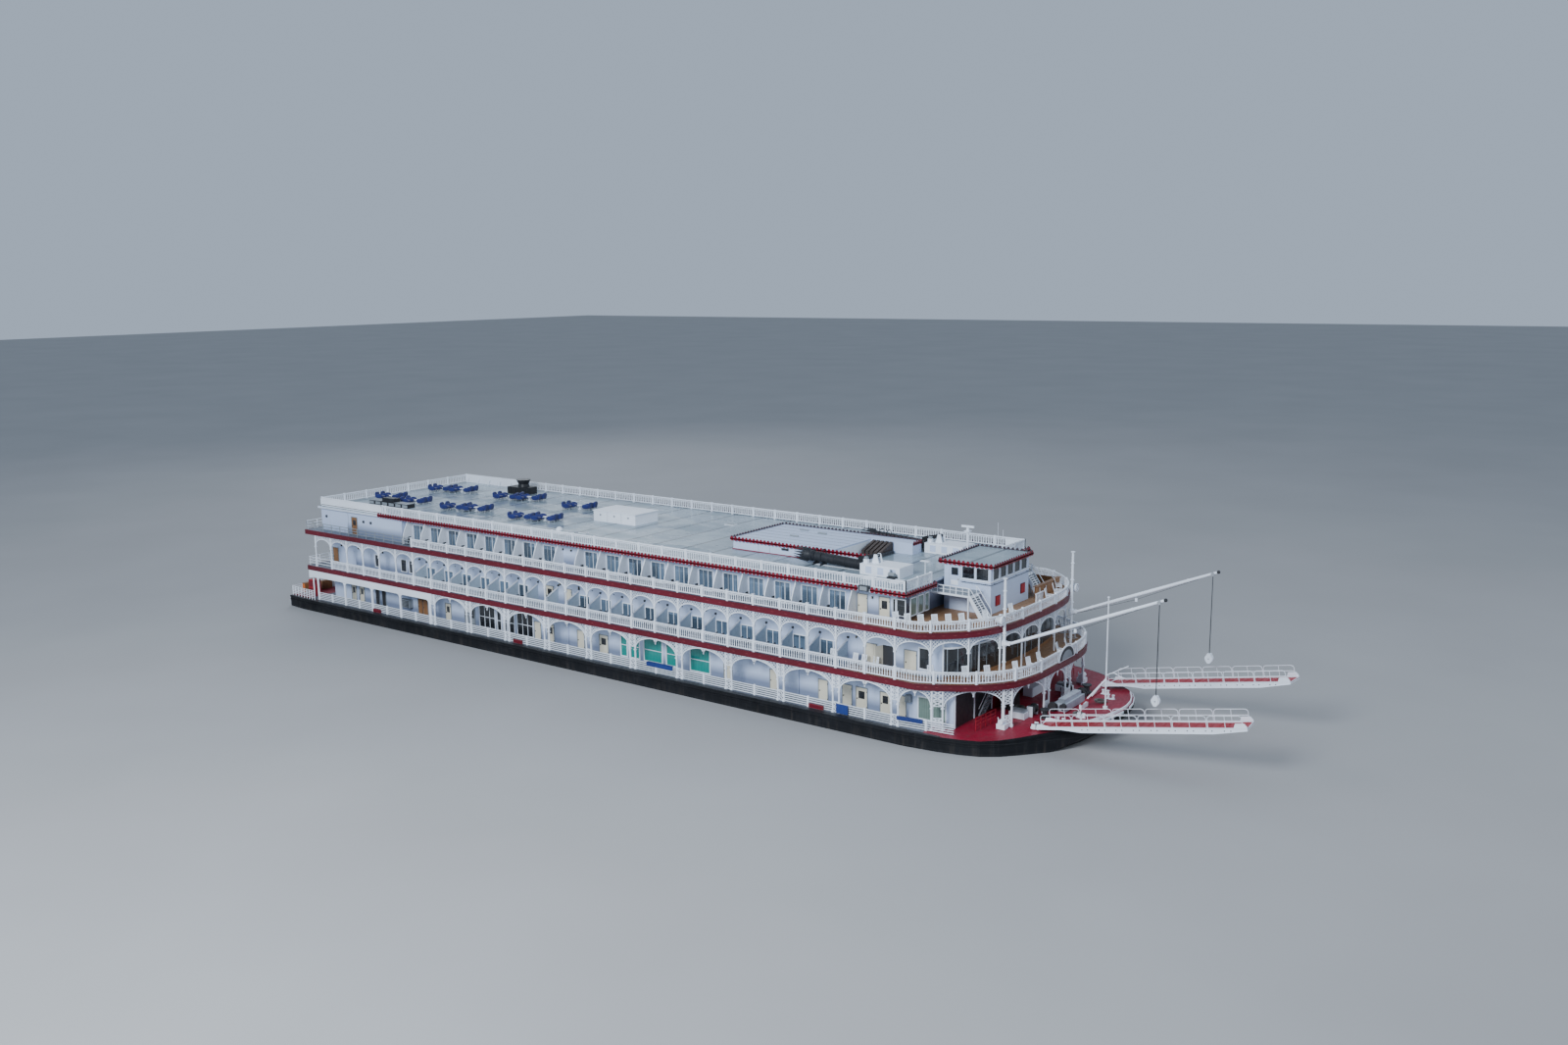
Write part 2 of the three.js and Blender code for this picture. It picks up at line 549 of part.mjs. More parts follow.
// ---------------------------------------------------------------- masts, booms and landing stages
for (const [side, e] of [['starboard', -1], ['port', 1]]) {
  const { x, y, r, top, gooseneck } = MAST;
  const my = e * y;
  const foot = deckZ(x + 30);
  // mast with a step, a searchlight bracket and the lamp
  const lampZ = 1190;
  const mast = join(
    bar([x, my, foot + GAP], [x, my, top], r, r * 0.8, 8),
    bar([x, my, foot + GAP], [x, my, foot + 30], 28, 22, 8),
    bar([x, my, top - 6], [x, my, top], 20, 20, 8),
    bar([x, my, gooseneck - 26], [x, my, gooseneck - 18], 22, 22, 8),
    bar([x, my, lampZ], [x - 10, my + e * 60, lampZ], 4),
    bar([x - 10, my + e * 60, lampZ - 6], [x - 10, my + e * 60, lampZ + 8], 12, 12, 10),
    bar([x - 34, my + e * 60, lampZ + 30], [x + 18, my + e * 60, lampZ + 30], 22, 26, 12),
  );
  part(`mast_${side}`, mast, WHITE);
  const pivot = new THREE.Group();
  pivot.position.set(x, my, 0);
  group.add(pivot);
  // collar with the boom's gooseneck
  const collar = cut(
    join(bar([0, 0, gooseneck - 16], [0, 0, gooseneck + 16], 24, 24, 16),
      box(12, BOOM.heelX + 10, -20, -14, gooseneck - 12, gooseneck + 12),
      box(12, BOOM.heelX + 10, 14, 20, gooseneck - 12, gooseneck + 12)),
    bar([0, 0, gooseneck - 30], [0, 0, gooseneck + 30], 14.2, 14.2, 16),
  );
  part(`boom_collar_${side}`, collar, WHITE, pivot);
  // boom up to its tip, and the sheave block there
  const tip = [BOOM.tipX, -e * BOOM.tipY, gooseneck + BOOM.tipZ];
  const heel = [BOOM.heelX, 0, gooseneck];
  const boom = join(
    bar(heel, tip, 12.5, 11, 10),
    bar([BOOM.heelX, -13.4, gooseneck], [BOOM.heelX, 13.4, gooseneck], 10, 10, 12),
    bar([tip[0] - 4, tip[1], tip[2]], [tip[0] + 26, tip[1], tip[2] - 6], 15, 15, 10),
  );
  part(`boom_${side}`, boom, WHITE, pivot);
  // falls: a taut line with the hook block at its end, a little inboard of the boom's tip
  const share = (BOOM.tipX - FALLS.back - BOOM.heelX) / (BOOM.tipX - BOOM.heelX);
  const [fx, fy, fz] = heel.map((v, i) => v + (tip[i] - v) * share);
  const zb = FALLS.z[side];
  const falls = join(
    bar([fx, fy, fz - 24], [fx, fy, zb + 40], 4, 4, 6),
    bar([fx, fy, zb + 46], [fx, fy, zb - 44], 17, 17, 10),
    bar([fx, fy - FALLS.half, zb], [fx, fy + FALLS.half, zb], FALLS.r, FALLS.r, 14),
  );
  part(`falls_${side}`, falls, STEEL, pivot);
  // turntable of the landing stage, on a pedestal at the edge of the foredeck, with ears for its pin
  const sx = STAGE.x;
  const sy = e * STAGE.y;
  const z0 = PLINTH_Z;
  const stagePivot = new THREE.Group();
  stagePivot.position.set(sx, sy, 0);
  stagePivot.rotation.z = -e * STAGE.yaw;
  group.add(stagePivot);
  const swivel = cut(
    join(bar([0, 0, z0 + 6.6], [0, 0, z0 + 16], 36, 36, 16),
      box(-16, 16, -36, -29.5, z0 + 8, STAGE.pin + 12), box(-16, 16, 29.5, 36, z0 + 8, STAGE.pin + 12)),
    bar([0, 0, z0], [0, 0, z0 + 30], 12.6, 12.6, 12),
  );
  part(`stage_swivel_${side}`, swivel, WHITE, stagePivot);
  // landing stage: two girders, floor and pipe rails, pinned to the swivel
  const st = new THREE.Group();
  stagePivot.add(st);
  st.position.set(0, 0, STAGE.pin);
  st.rotation.y = -STAGE.rise[side];
  const L = STAGE.length;
  const w = STAGE.half;
  const girder = (yy) => panel([[50, -22], [L - 250, -22], [L, -4], [L, 6], [50, 6]], [], yy - 3, yy + 3);
  const g = [girder(-w + 3), girder(w - 3), box(50, L, -w + 2, w - 2, -4, 2),
    box(-6, 56, -18, 18, -6, 6), bar([0, -29, 0], [0, 29, 0], 7, 7, 10)];
  for (const yy of [-w + 4, w - 4]) {
    const bays = [];
    const n = 5;
    for (let k = 0; k < n; k++) {
      const xa = 120 + ((L - 160) * k) / n + 3;
      const xb = 120 + ((L - 160) * (k + 1)) / n - 3;
      for (const [za, zb] of [[2, 50], [56, 100]]) bays.push([[xa, za], [xb, za], [xb, zb], [xa, zb]]);
    }
    g.push(panel([[120, -2], [L - 40, -2], [L - 40, 105], [120, 105]], bays, yy - 2, yy + 2));
  }
  part(`stage_${side}`, join(g), STEEL, st);
}

// ---------------------------------------------------------------- foredeck
{
  const x = 4738;
  const z0 = deckZ(x + 21) + GAP;
  part('jackstaff', join(
    bar([x, 0, z0], [x, 0, 1352], 7, 5, 8),
    bar([x, 0, z0], [x, 0, z0 + 16], 20, 20, 10),
    bar([x, 0, 660], [x - 190, -60, 412], 5, 5, 6), bar([x, 0, 660], [x - 190, 60, 412], 5, 5, 6),
    box(x - 200, x - 180, -68, 68, deckZ(x - 180) + GAP, 416),
    bar([x, 0, 690], [x + 190, 0, 800], 4, 4, 6),
    bar([x + 60, 0, 724], [x + 150, 0, 690], 3, 3, 6),
  ), WHITE);
}
{
  // low plinth across the foredeck with the winch house, the two capstan spindles and the
  // spindles of the landing stages' turntables
  const x = CAPSTAN.x;
  const z = PLINTH_Z;
  const s = [box(x - 62, STAGE.x + 36, -480, 480, z, z + 6), box(STAGE.x - 36, STAGE.x + 36, -STAGE.y - 36, STAGE.y + 36, z, z + 6),
    box(x - 30, x + 80, -190, 190, z, z + 70), box(x, x + 60, -160, 160, z + 60, z + 105)];
  for (const e of [-1, 1]) {
    s.push(bar([x, e * CAPSTAN.y, z + 4], [x, e * CAPSTAN.y, z + 26], 9, 9, 12));
    s.push(bar([STAGE.x, e * STAGE.y, z + 4], [STAGE.x, e * STAGE.y, z + 18], 12, 12, 12));
  }
  part('foredeck_gear', join(s), WHITE);
  for (const [side, e] of [['starboard', -1], ['port', 1]]) {
    const y = e * CAPSTAN.y;
    part(`capstan_${side}`, cut(turned([[0, z + 6.6], [44, z + 6.6], [44, z + 20], [26, z + 30], [24, z + 62], [42, z + 72], [42, z + 82], [0, z + 82]], x, y, 14),
      bar([x, y, z + 1], [x, y, z + 27], 9.3, 9.3, 12)), DARK);
  }
}

// ---------------------------------------------------------------- radar
{
  const x = 3250;
  const y = 330;
  part('radar_mast', join(
    bar([x, y, Z_ROOF + GAP], [x, y, 1690], 10, 8, 10), box(x - 26, x + 26, y - 26, y + 26, 1690, 1700),
    bar([x, y, 1700], [x, y, 1724], 15, 12, 12), bar([x, y, 1722], [x, y, 1736], 5, 5, 10),
  ), WHITE);
  part('radar_scanner', cut(join(box(x - 62, x + 62, y - 8, y + 8, 1728, 1746), bar([x, y, 1726], [x, y, 1746], 14, 14, 12)),
    bar([x, y, 1720], [x, y, 1737], 6, 6, 12)), WHITE);
}

export default group;
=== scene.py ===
import math
import random
import bpy
from mathutils import Matrix, Vector


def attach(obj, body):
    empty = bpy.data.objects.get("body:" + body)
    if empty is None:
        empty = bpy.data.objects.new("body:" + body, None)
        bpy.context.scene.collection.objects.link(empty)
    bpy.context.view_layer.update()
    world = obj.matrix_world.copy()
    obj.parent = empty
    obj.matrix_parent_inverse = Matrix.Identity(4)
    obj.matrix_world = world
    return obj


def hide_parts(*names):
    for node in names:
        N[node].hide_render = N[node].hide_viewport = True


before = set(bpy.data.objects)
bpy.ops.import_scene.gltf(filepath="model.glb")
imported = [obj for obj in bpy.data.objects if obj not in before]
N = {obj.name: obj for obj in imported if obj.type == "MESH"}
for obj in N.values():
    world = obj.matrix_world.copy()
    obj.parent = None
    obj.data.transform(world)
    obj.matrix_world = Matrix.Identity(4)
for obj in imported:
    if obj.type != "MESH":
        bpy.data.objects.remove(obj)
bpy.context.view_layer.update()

R = random.Random(7)

# ------------------------------------------------------------------ sizes, metres
BAY, X0, BAYS = 0.289, -4.375, 27
HALF, GUARD, WALL = 1.197, 1.262, 1.0
Z_MAIN, Z_2, Z_3, Z_ROOF = 0.337, 0.729, 1.149, 1.424
BAND = 0.052                 # height of the red bands
X_AFT, X_STERN = -4.535, -4.87
ROOF_HALF, ROOF_RAIL, ROOF_FWD = 1.11, 1.063, 3.482
WATER = 0.21


def bx(b):
    return X0 + BAY * b


def front2(y):
    u = y / BAY
    return BAY * (30.111 + 0.0053 * u * u - 0.00864 * u ** 4) + X0


def front3(y):
    u = y / BAY
    return BAY * (29.463 - 0.0086 * u * u - 0.00545 * u ** 4) + X0


BOW = [(3.56, 1.262), (3.85, 1.228), (4.038, 1.187), (4.184, 1.134), (4.31, 1.046), (4.421, 0.928), (4.527, 0.799),
       (4.615, 0.7), (4.7, 0.602), (4.775, 0.49), (4.84, 0.36), (4.895, 0.2), (4.92, 0.06)]


def sheer(x):
    return Z_MAIN + (0.1 * ((x - 4.15) / 0.77) ** 1.5 if x > 4.15 else 0)


# ------------------------------------------------------------------ materials
MATS = {}


class Nodes:
    """Short hand for building one material's nodes."""

    def __init__(self, name):
        self.name = name
        self.mat = bpy.data.materials.new("finish_" + name)
        self.mat.use_nodes = True
        self.t = self.mat.node_tree
        self.t.nodes.clear()
        self.out = self.t.nodes.new("ShaderNodeOutputMaterial")
        self.b = self.t.nodes.new("ShaderNodeBsdfPrincipled")
        self.t.links.new(self.b.outputs[0], self.out.inputs[0])
        self.co = self.t.nodes.new("ShaderNodeTexCoord").outputs["Object"]

    def link(self, a, b):
        self.t.links.new(a, b)

    def mapping(self, scale=(1, 1, 1), loc=(0, 0, 0), rot=(0, 0, 0), src=None):
        n = self.t.nodes.new("ShaderNodeMapping")
        n.inputs["Scale"].default_value = scale
        n.inputs["Location"].default_value = loc
        n.inputs["Rotation"].default_value = rot
        self.link(src or self.co, n.inputs["Vector"])
        return n.outputs[0]

    def noise(self, scale, detail=4, rough=0.55, src=None, dist=0.0):
        n = self.t.nodes.new("ShaderNodeTexNoise")
        n.inputs["Scale"].default_value = scale
        n.inputs["Detail"].default_value = detail
        n.inputs["Roughness"].default_value = rough
        n.inputs["Distortion"].default_value = dist
        self.link(src or self.co, n.inputs["Vector"])
        return n.outputs["Fac"]

    def ramp(self, fac, stops):
        n = self.t.nodes.new("ShaderNodeValToRGB")
        el = n.color_ramp.elements
        while len(el) < len(stops):
            el.new(0.5)
        for e, (p, c) in zip(el, stops):
            e.position = p
            e.color = (c[0], c[1], c[2], 1) if isinstance(c, (tuple, list)) else (c, c, c, 1)
        self.link(fac, n.inputs[0])
        return n.outputs[0]

    def mix(self, fac, a, b, mode="MIX"):
        n = self.t.nodes.new("ShaderNodeMix")
        n.data_type = "RGBA"
        n.blend_type = mode
        for sock, val in ((n.inputs[0], fac), (n.inputs[6], a), (n.inputs[7], b)):
            if isinstance(val, bpy.types.NodeSocket):
                self.link(val, sock)
            elif isinstance(val, (int, float)):
                sock.default_value = val
            else:
                sock.default_value = (val[0], val[1], val[2], 1)
        return n.outputs[2]

    def math(self, op, a, b=0.0, c=0.0, clamp=False):
        n = self.t.nodes.new("ShaderNodeMath")
        n.operation = op
        n.use_clamp = clamp
        for sock, val in zip(n.inputs, (a, b, c)):
            if isinstance(val, bpy.types.NodeSocket):
                self.link(val, sock)
            else:
                sock.default_value = val
        return n.outputs[0]

    def range(self, fac, lo, hi, a=0.0, b=1.0):
        n = self.t.nodes.new("ShaderNodeMapRange")
        n.inputs["From Min"].default_value = a
        n.inputs["From Max"].default_value = b
        n.inputs["To Min"].default_value = lo
        n.inputs["To Max"].default_value = hi
        self.link(fac, n.inputs["Value"])
        return n.outputs[0]

    def xyz(self, src=None):
        n = self.t.nodes.new("ShaderNodeSeparateXYZ")
        self.link(src or self.co, n.inputs[0])
        return n.outputs

    def normal(self):
        return self.xyz(self.t.nodes.new("ShaderNodeNewGeometry").outputs["Normal"])

    def combine(self, x, y, z):
        n = self.t.nodes.new("ShaderNodeCombineXYZ")
        for sock, val in zip(n.inputs, (x, y, z)):
            if isinstance(val, bpy.types.NodeSocket):
                self.link(val, sock)
            else:
                sock.default_value = val
        return n.outputs[0]

    def lines(self, coord, pitch, width, offset=0.0):
        """1 on thin lines every pitch along coord."""
        m = self.math("FRACT", self.math("MULTIPLY_ADD", coord, 1.0 / pitch, offset))
        return self.math("LESS_THAN", m, width / pitch)

    def bump(self, height, strength=0.3, dist=0.002):
        n = self.t.nodes.new("ShaderNodeBump")
        n.inputs["Strength"].default_value = strength
        n.inputs["Distance"].default_value = dist
        self.link(height, n.inputs["Height"])
        self.link(n.outputs[0], self.b.inputs["Normal"])

    def done(self, col, rough=None, metal=0.0, spec=0.5, coat=0.0, coat_rough=0.1, rough_value=0.5):
        if isinstance(col, bpy.types.NodeSocket):
            self.link(col, self.b.inputs["Base Color"])
        else:
            self.b.inputs["Base Color"].default_value = (*col, 1)
        if rough is not None:
            self.link(rough, self.b.inputs["Roughness"])
        else:
            self.b.inputs["Roughness"].default_value = rough_value
        self.b.inputs["Metallic"].default_value = metal
        self.b.inputs["Specular IOR Level"].default_value = spec
        self.b.inputs["Coat Weight"].default_value = coat
        self.b.inputs["Coat Roughness"].default_value = coat_rough
        MATS[self.name] = self.mat
        return self.mat


def painted(name, base, rough=(0.35, 0.6), var=0.10, streak=0.12, dirt=(0.35, 0.30, 0.24), fine=90, bump=0.15, coat=0.0, metal=0.0, spec=0.5):
    """Paint on metal: slow colour drift, faint runs down the upright faces, grime in patches, orange peel."""
    n = Nodes(name)
    slow = n.noise(2.3, 5)
    small = n.noise(23, 4)
    dark = tuple(c * (1 - var * 2.2) for c in base)
    light = tuple(min(1, c * (1 + var * 0.5)) for c in base)
    col = n.mix(n.range(slow, 0, 1, 0.3, 0.7), dark, light)
    col = n.mix(n.range(small, 0, 0.5 * var * 3, 0.45, 0.75), col, tuple(c * 0.72 for c in base))
    runs = n.noise(1.0, 5, 0.6, n.mapping((55, 55, 3.2)))
    col = n.mix(n.range(runs, 0, streak, 0.52, 0.72), col, tuple(b * 0.55 + d * 0.3 for b, d in zip(base, dirt)))
    h = n.noise(fine, 3)
    n.bump(h, bump, 0.0012)
    return n.done(col, n.range(small, rough[0], rough[1], 0.3, 0.7), metal, spec, coat)


def wall_paint():
    """White plating of the houses: plate seams, faint runs, and painted shade that darkens the foot of each side wall
    behind the rails.
    """
    n = Nodes("wall_white")
    x, y, z = n.xyz()
    base, dark = (0.55, 0.64, 0.82), (0.41, 0.49, 0.66)
    col = n.mix(n.range(n.noise(1.7, 5), 0, 1, 0.3, 0.7), base, (0.49, 0.58, 0.77))
    along = n.math("ADD", x, y)
    seam = n.lines(along, 0.289, 0.004, 0.31)
    row = n.lines(z, 0.105, 0.003, 0.2)
    seams = n.math("MAXIMUM", seam, row)
    col = n.mix(n.math("MULTIPLY", seams, 0.22), col, dark)
    runs = n.noise(1.0, 5, 0.62, n.mapping((70, 70, 4)))
    col = n.mix(n.range(runs, 0, 0.20, 0.54, 0.74), col, (0.50, 0.47, 0.43))
    patches = n.noise(9, 5, 0.6)
    col = n.mix(n.range(patches, 0, 0.14, 0.55, 0.75), col, (0.46, 0.51, 0.60))
    # painted shade at the foot of the side walls, behind each rail
    shade = None
    for foot, top in ((Z_MAIN, 0.428), (Z_2, 0.832), (Z_3, 1.240)):
        low = n.math("MULTIPLY", n.range(z, 1, 0, top - 0.035, top + 0.045), n.math("GREATER_THAN", z, foot - 0.04))
        shade = low if shade is None else n.math("MAXIMUM", shade, low)
    shade = n.math("MULTIPLY", shade, n.math("MULTIPLY", n.math("LESS_THAN", x, 3.45), n.math("GREATER_THAN", x, -3.9)))
    col = n.mix(n.math("MULTIPLY", shade, 0.80), col, (0.12, 0.15, 0.24))
    n.bump(n.math("SUBTRACT", n.noise(60, 3), seams), 0.25, 0.0015)
    n.done(col, n.range(patches, 0.38, 0.62, 0.3, 0.7))


def deck_edge_mix(name, top_cols, side, under, plank=0.0, plank_axis="x", wet=False, bow_from=None, bow_cols=None):
    """A deck plate: one finish on top, one on its edges and one underneath, told apart by the face's direction."""
    n = Nodes(name)
    x, y, z = n.xyz()
    nz = n.normal()[2]
    up = n.math("GREATER_THAN", nz, 0.5)
    down = n.math("LESS_THAN", nz, -0.5)
    slow = n.noise(3.1, 6, 0.6)
    top = n.mix(n.range(slow, 0, 1, 0.32, 0.68), top_cols[0], top_cols[1])
    fine = n.noise(40, 4)
    top = n.mix(n.range(fine, 0, 0.35, 0.5, 0.8), top, tuple(c * 0.6 for c in top_cols[0]))
    height = fine
    if plank:
        across = y if plank_axis == "x" else x
        ln = n.lines(across, plank, plank * 0.09)
        board = n.math("FLOOR", n.math("MULTIPLY", across, 1 / plank))
        bn = n.t.nodes.new("ShaderNodeTexWhiteNoise")
        bn.noise_dimensions = "1D"
        n.link(board, bn.inputs["W"])
        top = n.mix(n.range(bn.outputs["Value"], 0, 0.3), top, tuple(c * 0.62 for c in top_cols[0]))
        top = n.mix(n.math("MULTIPLY", ln, 0.75), top, tuple(c * 0.3 for c in top_cols[0]))
        height = n.math("SUBTRACT", fine, ln)
    if bow_from is not None:
        grain = n.noise(1.0, 5, 0.6, n.mapping((60, 6, 6)))
        wood = n.mix(n.range(grain, 0, 1, 0.3, 0.7), bow_cols[0], bow_cols[1])
        ln2 = n.lines(y, 0.022, 0.0025)
        wood = n.mix(n.math("MULTIPLY", ln2, 0.8), wood, tuple(c * 0.35 for c in bow_cols[0]))
        top = n.mix(n.math("GREATER_THAN", x, bow_from), top, wood)
    rust = n.noise(7, 5)
    edge = n.mix(n.range(rust, 0, 0.3, 0.5, 0.75), side, tuple(c * 0.55 for c in side))
    col = n.mix(up, edge, top)
    col = n.mix(down, col, under)
    n.bump(height, 0.3, 0.0015)
    if wet:
        pud = n.noise(1.5, 5, 0.6, n.mapping((0.7, 1.6, 1)))
        rough = n.range(pud, 0.12, 0.5, 0.42, 0.62)
    else:
        rough = n.range(fine, 0.42, 0.68, 0.3, 0.7)
    n.done(col, rough, spec=0.5)


def main_deck_paint():
    """Main deck: grey walkway beside the houses, red at the bow and the stern, black along the outer edge, white beams aft."""
    n = Nodes("main_deck")
    x, y, z = n.xyz()
    up = n.math("GREATER_THAN", n.normal()[2], 0.5)
    off = n.math("ABSOLUTE", y)
    slow, fine = n.noise(3.1, 6, 0.6), n.noise(40, 4)
    tone = n.range(slow, 0, 1, 0.32, 0.68)
    grey = n.mix(tone, (0.11, 0.125, 0.16), (0.17, 0.19, 0.23))
    red = n.mix(tone, (0.21, 0.004, 0.020), (0.32, 0.007, 0.035))
    black = n.mix(tone, (0.008, 0.009, 0.011), (0.022, 0.024, 0.028))
    white = n.mix(tone, (0.74, 0.77, 0.82), (0.86, 0.88, 0.91))
    ends = n.math("MAXIMUM", n.math("GREATER_THAN", x, 3.70), n.math("LESS_THAN", x, -4.54))
    top = n.mix(ends, grey, red)
    seam = n.math("MAXIMUM", n.lines(x, 0.289, 0.004), n.lines(y, 0.3, 0.004))
    top = n.mix(n.math("MULTIPLY", seam, 0.4), top, (0.06, 0.05, 0.055))
    top = n.mix(n.range(fine, 0, 0.3, 0.5, 0.8), top, (0.09, 0.07, 0.07))
    strip = n.math("MULTIPLY", n.math("GREATER_THAN", off, 1.205), n.math("LESS_THAN", x, 3.87))
    top = n.mix(strip, top, black)
    col = n.mix(up, black, top)
    aft = n.math("MULTIPLY", n.math("LESS_THAN", x, -4.50), n.math("LESS_THAN", off, 0.69))
    col = n.mix(n.math("MULTIPLY", aft, n.math("GREATER_THAN", z, 0.3375)), col, white)
    col = n.mix(n.math("GREATER_THAN", z, 0.50), col, white)
    n.bump(n.math("SUBTRACT", fine, seam), 0.3, 0.0015)
    n.done(col, n.range(fine, 0.40, 0.66, 0.3, 0.7), spec=0.5)


def gear_paint():
    """Plinth in the red of the deck, the winch house above it in pale grey."""
    n = Nodes("gear_mix")
    x, y, z = n.xyz()
    slow, fine = n.noise(5, 5), n.noise(40, 4)
    red = n.mix(n.range(slow, 0, 1, 0.32, 0.68), (0.21, 0.004, 0.020), (0.32, 0.007, 0.035))
    grey = n.mix(n.range(slow, 0, 1, 0.32, 0.68), (0.30, 0.34, 0.40), (0.46, 0.50, 0.57))
    seam = n.lines(y, 0.08, 0.003)
    grey = n.mix(n.math("MULTIPLY", seam, 0.6), grey, (0.06, 0.065, 0.075))
    col = n.mix(n.math("GREATER_THAN", z, 0.3725), red, grey)
    n.bump(fine, 0.25, 0.0012)
    n.done(col, n.range(fine, 0.4, 0.65, 0.3, 0.7))


def glass(name, dark, light, fold=0.03, mixlo=0.35, mixhi=0.7, rough=0.07):
    """A window from outside: curtain folds and a darker room behind a glossy pane, different in each bay."""
    n = Nodes(name)
    x, y, z = n.xyz()
    along = n.math("ADD", x, y)
    cell = n.t.nodes.new("ShaderNodeTexWhiteNoise")
    cell.noise_dimensions = "2D"
    n.link(n.combine(n.math("FLOOR", n.math("MULTIPLY", along, 1 / BAY)), n.math("FLOOR", n.math("MULTIPLY", z, 2.3)), 0), cell.inputs["Vector"])
    wave = n.math("SINE", n.math("MULTIPLY", along, 2 * math.pi / fold))
    curtain = n.mix(n.range(wave, 0, 1, -1, 1), tuple(c * 0.72 for c in light), light)
    amount = n.math("ADD", n.math("MULTIPLY", cell.outputs["Value"], 0.55), n.math("MULTIPLY", n.noise(5, 3), 0.6))
    col = n.mix(n.range(amount, 0, 1, mixlo, mixhi), dark, curtain)
    top = n.range(n.math("FRACT", n.math("MULTIPLY", z, 3.1)), 0.0, 0.25)
    col = n.mix(top, col, dark)
    n.bump(n.noise(3, 2), 0.05, 0.002)
    n.done(col, n.range(n.noise(14, 3), rough, rough + 0.12, 0.4, 0.7), spec=0.7, coat=0.6, coat_rough=0.03)


def wood(name, a, b, axis=(4, 60, 60)):
    n = Nodes(name)
    g = n.noise(1.0, 6, 0.65, n.mapping(axis), 0.4)
    col = n.mix(n.range(g, 0, 1, 0.3, 0.7), a, b)
    col = n.mix(n.range(n.noise(6, 4), 0, 0.4, 0.5, 0.8), col, tuple(c * 0.5 for c in a))
    n.bump(g, 0.3, 0.0012)
    n.done(col, n.range(g, 0.4, 0.62, 0.3, 0.7))


def fabric(name, a, b):
    n = Nodes(name)
    x, y, z = n.xyz()
    w1 = n.math("SINE", n.math("MULTIPLY", x, 2600))
    w2 = n.math("SINE", n.math("MULTIPLY", n.math("ADD", y, z), 2600))
    weave = n.math("MULTIPLY", w1, w2)
    col = n.mix(n.range(n.noise(22, 4), 0, 1, 0.3, 0.7), a, b)
    col = n.mix(n.range(weave, 0, 0.25, -1, 1), col, tuple(min(1, c * 1.7) for c in b))
    n.bump(weave, 0.25, 0.0004)
    n.b.inputs["Sheen Weight"].default_value = 0.25
    n.done(col, n.range(weave, 0.75, 0.9, -1, 1), spec=0.3)


def hull_paint():
    """Black hull: plate seams, dull patches, a dusty bloom and faint scrapes towards the waterline."""
    n = Nodes("hull_black")
    x, y, z = n.xyz()
    col = n.mix(n.range(n.noise(2.0, 6, 0.6), 0, 1, 0.3, 0.7), (0.003, 0.0035, 0.005), (0.010, 0.011, 0.014))
    seam = n.math("MAXIMUM", n.lines(x, 0.61, 0.005), n.lines(z, 0.085, 0.004, 0.35))
    col = n.mix(n.math("MULTIPLY", seam, 0.5), col, (0.030, 0.031, 0.034))
    runs = n.noise(1.0, 6, 0.62, n.mapping((26, 26, 2.5)))
    low = n.range(z, 1.0, 0.15, 0.2, 0.33)
    scr = n.math("MULTIPLY", n.range(runs, 0, 0.55, 0.5, 0.72), low)
    col = n.mix(scr, col, (0.060, 0.050, 0.043))
    col = n.mix(n.range(n.noise(13, 5), 0, 0.35, 0.55, 0.75), col, (0.032, 0.033, 0.037))
    n.bump(n.math("SUBTRACT", n.noise(16, 4), n.math("MULTIPLY", seam, 0.6)), 0.35, 0.003)
    n.done(col, n.range(n.noise(11, 4), 0.40, 0.7, 0.3, 0.7), spec=0.22)


wall_paint()
hull_paint()
painted("trim_white", (0.84, 0.89, 0.97), var=0.05, streak=0.08, bump=0.12)
painted("cream", (0.72, 0.68, 0.55), var=0.07, streak=0.14)
painted("band_red", (0.125, 0.003, 0.014), rough=(0.28, 0.5), var=0.12, streak=0.18, dirt=(0.12, 0.06, 0.06))
painted("band_dash", (0.30, 0.055, 0.065), rough=(0.4, 0.6), var=0.12)
painted("crest_red", (0.24, 0.005, 0.020), rough=(0.3, 0.5), var=0.10, streak=0.12, dirt=(0.15, 0.05, 0.05))
painted("crest_back", (0.045, 0.032, 0.045), rough=(0.45, 0.65), var=0.15)
painted("bright_red", (0.38, 0.012, 0.024), rough=(0.32, 0.55), var=0.10, streak=0.15, dirt=(0.2, 0.1, 0.1))
painted("wheel_red", (0.36, 0.012, 0.020), rough=(0.3, 0.6), var=0.16, streak=0.3, dirt=(0.1, 0.06, 0.05), bump=0.3, fine=50)
painted("dark_grey", (0.028, 0.030, 0.035), rough=(0.35, 0.6), var=0.2, streak=0.25, dirt=(0.25, 0.2, 0.16))
painted("stack_grey", (0.020, 0.022, 0.027), rough=(0.4, 0.65), var=0.2, streak=0.22, dirt=(0.25, 0.20, 0.17), bump=0.3, spec=0.3)
painted("mid_grey", (0.26, 0.29, 0.32), var=0.12, streak=0.2)
painted("fin_blue", (0.46, 0.56, 0.66), rough=(0.2, 0.4), var=0.08, streak=0.08)
painted("steel", (0.55, 0.58, 0.62), rough=(0.25, 0.45), var=0.1, metal=0.85)
painted("wire", (0.05, 0.052, 0.055), rough=(0.4, 0.6), var=0.15, metal=0.6)
painted("dark_brown", (0.045, 0.030, 0.025), rough=(0.45, 0.7), var=0.15)
painted("plate_red", (0.20, 0.008, 0.018), rough=(0.4, 0.6), var=0.12)
painted("orange", (0.65, 0.16, 0.03), var=0.1)
painted("brass", (0.62, 0.47, 0.20), rough=(0.25, 0.45), var=0.1, metal=0.9)
painted("cover_blue", (0.010, 0.035, 0.20), rough=(0.5, 0.75), var=0.15)
wood("door_wood", (0.16, 0.075, 0.030), (0.30, 0.15, 0.065), (60, 60, 5))
wood("deck_wood", (0.27, 0.135, 0.062), (0.42, 0.23, 0.115), (5, 60, 60))
fabric("chair_navy", (0.008, 0.014, 0.085), (0.014, 0.024, 0.14))
fabric("rope", (0.05, 0.05, 0.055), (0.11, 0.10, 0.09))
